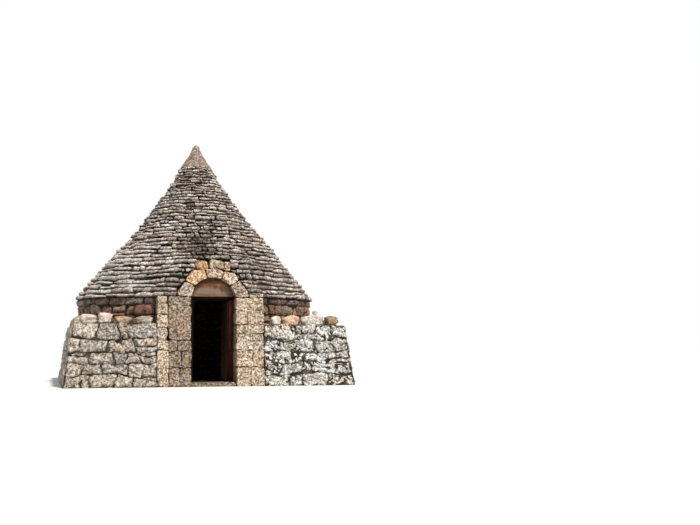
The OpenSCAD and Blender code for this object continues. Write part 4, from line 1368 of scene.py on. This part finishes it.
# Half the base block's width at height z.
def faceHalf(z):
    return house["baseHalf"] - house["batter"] * z


# Stones of one face of the base block, the front turned by quarter turns about the axis.
def onFace(turn):
    c, s = math.cos(turn), math.sin(turn)

    def place(u, v, out):
        x = u * (faceHalf(v) / house["baseHalf"]) ** (np.abs(u) > base["cornerFrom"])
        y = -faceHalf(v) - out
        return np.stack([c * x - s * y, s * x + c * y, v], axis=-1)
    return place


# One face: a row of stones between each two of its edges.
def makeBaseFace(turn, rowsOfEdges, palette, seed, style, perSide=7):
    rng = np.random.default_rng(seed)
    laid = []
    for row, edges in enumerate(rowsOfEdges):
        lean = np.pad(base["lean"] * rng.uniform(-1, 1, len(edges) - 2), 1)
        laid += stonesBetween(row, edges, lean, rng, base["splits"], base["wide"],
                              base["highestCut"])
    line = wavyRows(base["heights"], base["wave"], seed, base["crest"])
    outlines = rowOutlines(laid, line, perSide, base["gap"], 3, base["bend"])
    count = len(laid)
    proud = rng.uniform(*base["proud"], count)
    depth = np.full(count, base["depth"])
    group = stonesFromOutlines(outlines, proud, depth, onFace(turn), base[style], seed)
    return group, pickTints(palette, count, rng, base["spread"])


# The facing of the base block: the two runs in front, and three sides of random stones.
def makeBase():
    half = house["baseHalf"]
    left = [[-half, *joints, house["pillarLeft"]] for joints in base["leftJoints"]]
    right = [[house["jambRight"], *joints, half] for joints in base["rightJoints"]]
    # the front left's palette is darker with painted shade
    left = makeBaseFace(0, left, base["leftPalette"], 61, "frontStyle", 13)
    right = makeBaseFace(0, right, base["whitePalette"], 62, "whiteStyle", 14)
    stonePiece("baseFrontLeftStones", [left[0]], [left[1]], stones["baseStone"])
    stonePiece("baseFrontRightStones", [right[0]], [right[1]], stones["whiteStone"])
    for k, side in enumerate(("Right", "Back", "Left")):
        rng = np.random.default_rng(70 + k)
        rows = [randomEdges(-half, half, rng, base["lengths"])
                for _ in range(len(base["heights"]) - 1)]
        turn = (k + 1) * math.pi / 2
        group, tint = makeBaseFace(turn, rows, base["palette"], 70 + k, "style")
        stonePiece("base" + side + "Stones", [group], [tint], stones["baseStone"])


makeBase()

# Round wall's rubble above the terrace
drum = {
    "heights": [1.06, 1.27, 1.48, 1.6],
    "lengths": (0.14, 0.42),
    "wave": 0.04,
    "bend": 0.04,
    "proud": (0.014, 0.03),
    "eaveProud": (0.02, 0.05),     # the top row is of grey slabs under the eave
    "depth": 0.06,
    "gap": 0.007,
    "spread": 0.12,
    "eaveSpread": 0.1,
    "style": {"arris": 0.032, "faceRings": 4, "arrisRings": 3, "sideRings": 1, "crown": 0.014,
              "taper": 0.06, "rough": 0.014, "sway": 0.02, "lump": 0.02, "knobs": 1.1,
              "crease": 0.4},
    "palette": [(160, 128, 109), (148, 118, 102), (176, 148, 128), (136, 106, 90),
                (166, 146, 130), (154, 117, 98)],
    "eavePalette": [(128, 122, 120), (112, 106, 104), (146, 138, 132), (134, 116, 104)],
}


# Stones of the round wall: the way round from the front as an arc length.
def onDrum(u, v, out):
    angle = u / house["drumR"]
    r = house["drumR"] + out
    return np.stack([r * np.sin(angle), -r * np.cos(angle), v], axis=-1)


# The facing of the round wall, from the right jamb round to the pillar.
def makeDrum():
    rng = np.random.default_rng(81)
    r = house["drumR"]
    start = r * math.asin(house["jambRight"] / r)
    end = r * (2 * math.pi + math.asin(house["pillarLeft"] / r))
    laid = []
    for row in range(len(drum["heights"]) - 1):
        laid += layRow(row, start, end, drum["lengths"], rng)
    line = wavyRows(drum["heights"], drum["wave"], 82)
    outlines = rowOutlines(laid, line, 6, drum["gap"], 2, drum["bend"])
    count = len(laid)
    top = np.array(laid)[:, 0] == len(drum["heights"]) - 2
    proud = np.where(top, rng.uniform(*drum["eaveProud"], count),
                     rng.uniform(*drum["proud"], count))
    tint = np.where(top[:, None],
                    pickTints(drum["eavePalette"], count, rng, drum["eaveSpread"]),
                    pickTints(drum["palette"], count, rng, drum["spread"]))
    depth = np.full(count, drum["depth"])
    group = stonesFromOutlines(outlines, proud, depth, onDrum, drum["style"], 83)
    stonePiece("drumStones", [group], [tint], stones["drumStone"])


makeDrum()

# Flat stones on the terrace, laid in rings round the wall
terrace = {
    "rings": [2.26, 2.4, 2.58, 2.75, 2.94, 3.1, 3.28, 3.46],
    "lengths": (0.1, 0.3),
    "wave": 0.03,
    "bend": 0.05,
    "proud": (-0.002, 0.014),
    "depth": 0.03,
    "gap": 0.005,
    "spread": 0.1,
    "edge": 0.03,           # no stone's middle lies nearer the block's edge,
    "portalEdge": 0.04,     # or the portal
    "style": {"arris": 0.016, "faceRings": 3, "arrisRings": 2, "sideRings": 1, "crown": 0.005,
              "taper": 0.04, "rough": 0.007, "sway": 0.012, "lump": 0.008, "knobs": 1.2,
              "crease": 0.3},
    "palette": [(170, 158, 142), (150, 140, 126), (186, 172, 152), (138, 126, 112),
                (164, 142, 120)],
}


# The way back round the wall as an arc length, then the distance from the axis. Stones that
# would pass the block's edge are cut off along it.
def onTerrace(u, v, out):
    angle = -u / house["drumR"]
    edge = faceHalf(house["baseTop"]) - 0.006
    x = np.clip(v * np.sin(angle), -edge, edge)
    y = np.clip(-v * np.cos(angle), -edge, edge)
    return np.stack([x, y, house["baseTop"] + out], axis=-1)


# The terrace's stones, less those past its edge and in the portal.
def makeTerrace():
    rng = np.random.default_rng(86)
    laid = []
    for row in range(len(terrace["rings"]) - 1):
        laid += layRow(row, 0, 2 * math.pi * house["drumR"], terrace["lengths"], rng, 0)
    line = wavyRows(terrace["rings"], terrace["wave"], 87)
    outlines = rowOutlines(laid, line, 4, terrace["gap"], 2, terrace["bend"])
    middle = outlines.mean(axis=1)
    angle = -middle[:, 0] / house["drumR"]
    x, y = middle[:, 1] * np.sin(angle), -middle[:, 1] * np.cos(angle)
    near = terrace["portalEdge"]
    inPortal = (x > house["pillarLeft"] - near) & (x < house["jambRight"] + near) & (y < 0)
    onBlock = np.maximum(np.abs(x), np.abs(y)) < faceHalf(house["baseTop"]) - terrace["edge"]
    outlines = outlines[onBlock & ~inPortal]
    count = len(outlines)
    group = stonesFromOutlines(outlines, rng.uniform(*terrace["proud"], count),
                               np.full(count, terrace["depth"]), onTerrace, terrace["style"],
                               88)
    tint = pickTints(terrace["palette"], count, rng, terrace["spread"])
    stonePiece("terraceStones", [group], [tint], stones["baseStone"])


makeTerrace()
print("walls laid")

# Loose stones on the terrace. Distance from the corner and length are shares of the front
# edge's run from that corner to the portal; then come depth, height and colour.
coping = {
    "right": [(0.838, 0.118, 0.24, 0.17, (230, 218, 204)),
              (0.641, 0.224, 0.26, 0.19, (232, 194, 162)),
              (0.375, 0.283, 0.25, 0.2, (226, 219, 209)),
              (0.143, 0.164, 0.24, 0.175, (166, 140, 114))],
    "left": [(0.832, 0.231, 0.24, 0.15, (176, 160, 142)),
             (0.594, 0.203, 0.25, 0.16, (188, 158, 130)),
             (0.385, 0.182, 0.24, 0.21, (230, 212, 200)),
             (0.175, 0.203, 0.23, 0.19, (210, 196, 184))],
    "small": (0.095, 0.1, 0.09, (218, 208, 190)),
    "smallAt": (0.045, 0.145),     # from the third stone's middle, and from the edge
    "corner": (0.3, 0.23, 0.15),   # mean length, depth and height of those at the corners,
    "cornerStep": 0.35,
    "cornerRun": 1.5,              # and how far from the block's corner they start
    "setback": 0.015,
    "spread": 0.06,
    "power": (2.6, 4.6),    # the higher, the boxier
    "breaks": 18,
    "breakReach": (0.54, 0.86),
    "palette": [(186, 174, 156), (172, 162, 146), (198, 184, 162), (190, 164, 136),
                (204, 196, 180)],
}
terraceHalf = faceHalf(house["baseTop"])


# Rough blocks, each at x, y and z of its seat, turned, and of a length, depth and height. On
# each ray from the middle a block reaches to a superellipsoid (the sum of its coordinates'
# powers is one), less the flat breaks, with noise on top.
def boulders(places, seed, around=30, rows=18):
    p = np.array(places, float)
    count = len(p)
    lat = np.linspace(-math.pi / 2, math.pi / 2, rows + 2)[1:-1]
    lon = np.arange(around) / around * 2 * math.pi
    flat = np.cos(lat)[:, None]
    ray = np.stack([flat * np.cos(lon), flat * np.sin(lon),
                    np.sin(lat)[:, None] + 0 * lon[None]], axis=-1).reshape(-1, 3)
    ray = np.concatenate([ray, [(0, 0, -1), (0, 0, 1)]])[None]
    rng = np.random.default_rng(seed)
    power = rng.uniform(*coping["power"], (count, 1, 1))
    unit = ray * (np.abs(ray) ** power).sum(axis=2, keepdims=True) ** (-1 / power)
    # flat breaks: no point lies further out than a few random planes, which cut a share off
    # what a cube would reach in their direction
    plane = rng.standard_normal((count, coping["breaks"], 3))
    plane /= np.linalg.norm(plane, axis=2, keepdims=True)
    reach = np.einsum("spi,sbi->spb", unit, plane)
    cube = np.abs(plane).sum(axis=2)[:, None]
    limit = rng.uniform(*coping["breakReach"], (count, 1, coping["breaks"])) * cube
    unit = unit * np.minimum(1, limit / np.maximum(reach, 1e-3)).min(axis=2)[..., None]
    unit = unit / np.abs(unit).max(axis=1, keepdims=True)
    key = unit * 2.1 + 13.1 * np.arange(count)[:, None, None]
    swell = 1.03 + 0.09 * roughNoise(key, 5, seed)
    swell -= 0.09 * np.clip(1 - 4 * np.abs(softNoise(key * 1.7, seed + 9)), 0, 1)
    body = unit * swell[..., None] * p[:, None, 4:7] / 2
    body[..., 2] = np.maximum(body[..., 2], -p[:, None, 6] / 2 * 0.985)
    turn = p[:, 3][:, None]
    x = p[:, None, 0] + np.cos(turn) * body[..., 0] - np.sin(turn) * body[..., 1]
    y = p[:, None, 1] + np.sin(turn) * body[..., 0] + np.cos(turn) * body[..., 1]
    z = p[:, None, 2] + p[:, None, 6] / 2 + body[..., 2]
    perStone = rows * around + 2
    return {"points": np.stack([x, y, z], axis=-1), "perStone": perStone,
            "joint": np.zeros(count * perStone),
            "quads": forEach(count, perStone, gridQuads(rows, around)),
            "triangles": forEach(count, perStone, poleFans(rows, around))}


# The loose stones seen in front, placed one by one, and those at the other corners.
def makeCoping():
    top = house["baseTop"]
    for way, side in ((-1, "left"), (1, "right")):
        run = terraceHalf + (house["pillarLeft"] if side == "left" else -house["jambRight"])
        row = coping[side]
        places = [(way * (terraceHalf - run * d), depth / 2 + coping["setback"] - terraceHalf,
                   top, 0, run * length, depth, height) for d, length, depth, height, _ in row]
        groups = [boulders(places, 90 + way, 44, 26)]
        tints = [np.array([srgb(*c[4]) for c in row])]
        if side == "right":
            # the small stone is seated on the mesh of the third one
            length, depth, height, colour = coping["small"]
            x = terraceHalf - run * row[2][0] + coping["smallAt"][0]
            y = coping["smallAt"][1] - terraceHalf
            under = groups[0]["points"][2]
            near = np.hypot(under[:, 0] - x, under[:, 1] - y) < length * 0.45
            seat = under[near, 2].max() - 0.018
            groups.append(boulders([(x, y, seat, 0.3, length, depth, height)], 98))
            tints.append(np.array([srgb(*colour)]))
        stonePiece("coping" + side.title() + "Stones", groups, tints, stones["copingStone"],
                   ("coping_front_" + side,))
    # lengths and heights vary as in the part's source
    length, depth, height = coping["corner"]
    degrees, way, i = [k.ravel() for k in np.meshgrid((90, 180, 270), (-1, 1), range(4),
                                                      indexing="ij")]
    x = way * (terraceHalf - coping["cornerRun"] + i * coping["cornerStep"])
    y = depth / 2 + coping["setback"] - terraceHalf
    turn = np.radians(degrees)
    places = np.stack([np.cos(turn) * x - np.sin(turn) * y, np.sin(turn) * x + np.cos(turn) * y,
                       top + 0 * turn, turn,
                       length * (1 + 0.08 * np.sin(np.radians(130 * i + degrees))),
                       depth + 0 * turn,
                       height * (1 + 0.2 * np.cos(np.radians(95 * i + degrees)))], axis=1)
    rng = np.random.default_rng(95)
    stonePiece("copingCornerStones", [boulders(places, 96, 22, 12)],
               [pickTints(coping["palette"], len(places), rng, coping["spread"])],
               stones["copingStone"], ("coping_corners",))


makeCoping()
print("loose stones laid")


# Floor, world, lamp and camera
floorCorners = [(-80, -60, 0), (80, -60, 0), (80, 140, 0), (-80, 140, 0)]
light = {
    "fill": 0.5,             # strength of the world on the object
    "sky": (0.93, 0.97, 1.0),
    "key": 4.0,
    "keyColour": (1.0, 0.97, 0.92),
    "keyAngle": 5,
    "keyTurn": 22,
    "keyHeight": 52,
}
view = {
    "lens": 51.94,
    "sensor": 36,
    "place": (-2.81, -20.5, 0.77),
    "tilt": 4.56,
    "turn": -16.5,
    "farthest": 500,
}


# A pale floor under the house, for its shadow.
def makeStage():
    mesh = bpy.data.meshes.new("floor")
    mesh.from_pydata(floorCorners, [], [(0, 1, 2, 3)])
    floor = bpy.data.objects.new("floor", mesh)
    bpy.context.collection.objects.link(floor)
    material, _, shader = startMaterial("paleFloor")
    shader.inputs["Base Color"].default_value = rgba((232, 230, 226))
    shader.inputs["Roughness"].default_value = 0.95
    mesh.materials.append(material)


# A world that is white where it is seen and soft where it lights, and one lamp.
def makeLight():
    world = bpy.data.worlds.new("studio")
    bpy.context.scene.world = world
    world.use_nodes = True
    tree = world.node_tree
    tree.nodes.clear()
    rays = nodeOf(tree, "ShaderNodeLightPath").outputs
    seen = mathOf(tree, "MAXIMUM", rays["Is Glossy Ray"], rays["Is Transmission Ray"])
    seen = mathOf(tree, "MAXIMUM", rays["Is Camera Ray"], seen)
    both = nodeOf(tree, "ShaderNodeMixShader", {0: seen})
    soft = {"Color": (*light["sky"], 1), "Strength": light["fill"]}
    white = {"Color": (1, 1, 1, 1), "Strength": 1.0}
    for i, inputs in enumerate((soft, white)):
        background = nodeOf(tree, "ShaderNodeBackground", inputs)
        tree.links.new(background.outputs[0], both.inputs[1 + i])
    nodeOf(tree, "ShaderNodeOutputWorld", {"Surface": both.outputs[0]})
    lamp = bpy.data.lights.new("key", "SUN")
    lamp.energy = light["key"]
    lamp.angle = math.radians(light["keyAngle"])
    lamp.color = light["keyColour"]
    key = bpy.data.objects.new("key", lamp)
    key.rotation_euler = (math.radians(90 - light["keyHeight"]), 0,
                          math.radians(light["keyTurn"]))
    bpy.context.collection.objects.link(key)


# The photograph's camera.
def makeCamera():
    data = bpy.data.cameras.new("view")
    data.lens = view["lens"]
    data.sensor_width = view["sensor"]
    data.clip_end = view["farthest"]
    camera = bpy.data.objects.new("view", data)
    camera.location = view["place"]
    camera.rotation_euler = (math.radians(90 + view["tilt"]), 0, math.radians(view["turn"]))
    bpy.context.collection.objects.link(camera)
    bpy.context.scene.camera = camera


makeStage()
makeLight()
makeCamera()
print("stage set")
bpy.context.scene.view_settings.view_transform = "Standard"
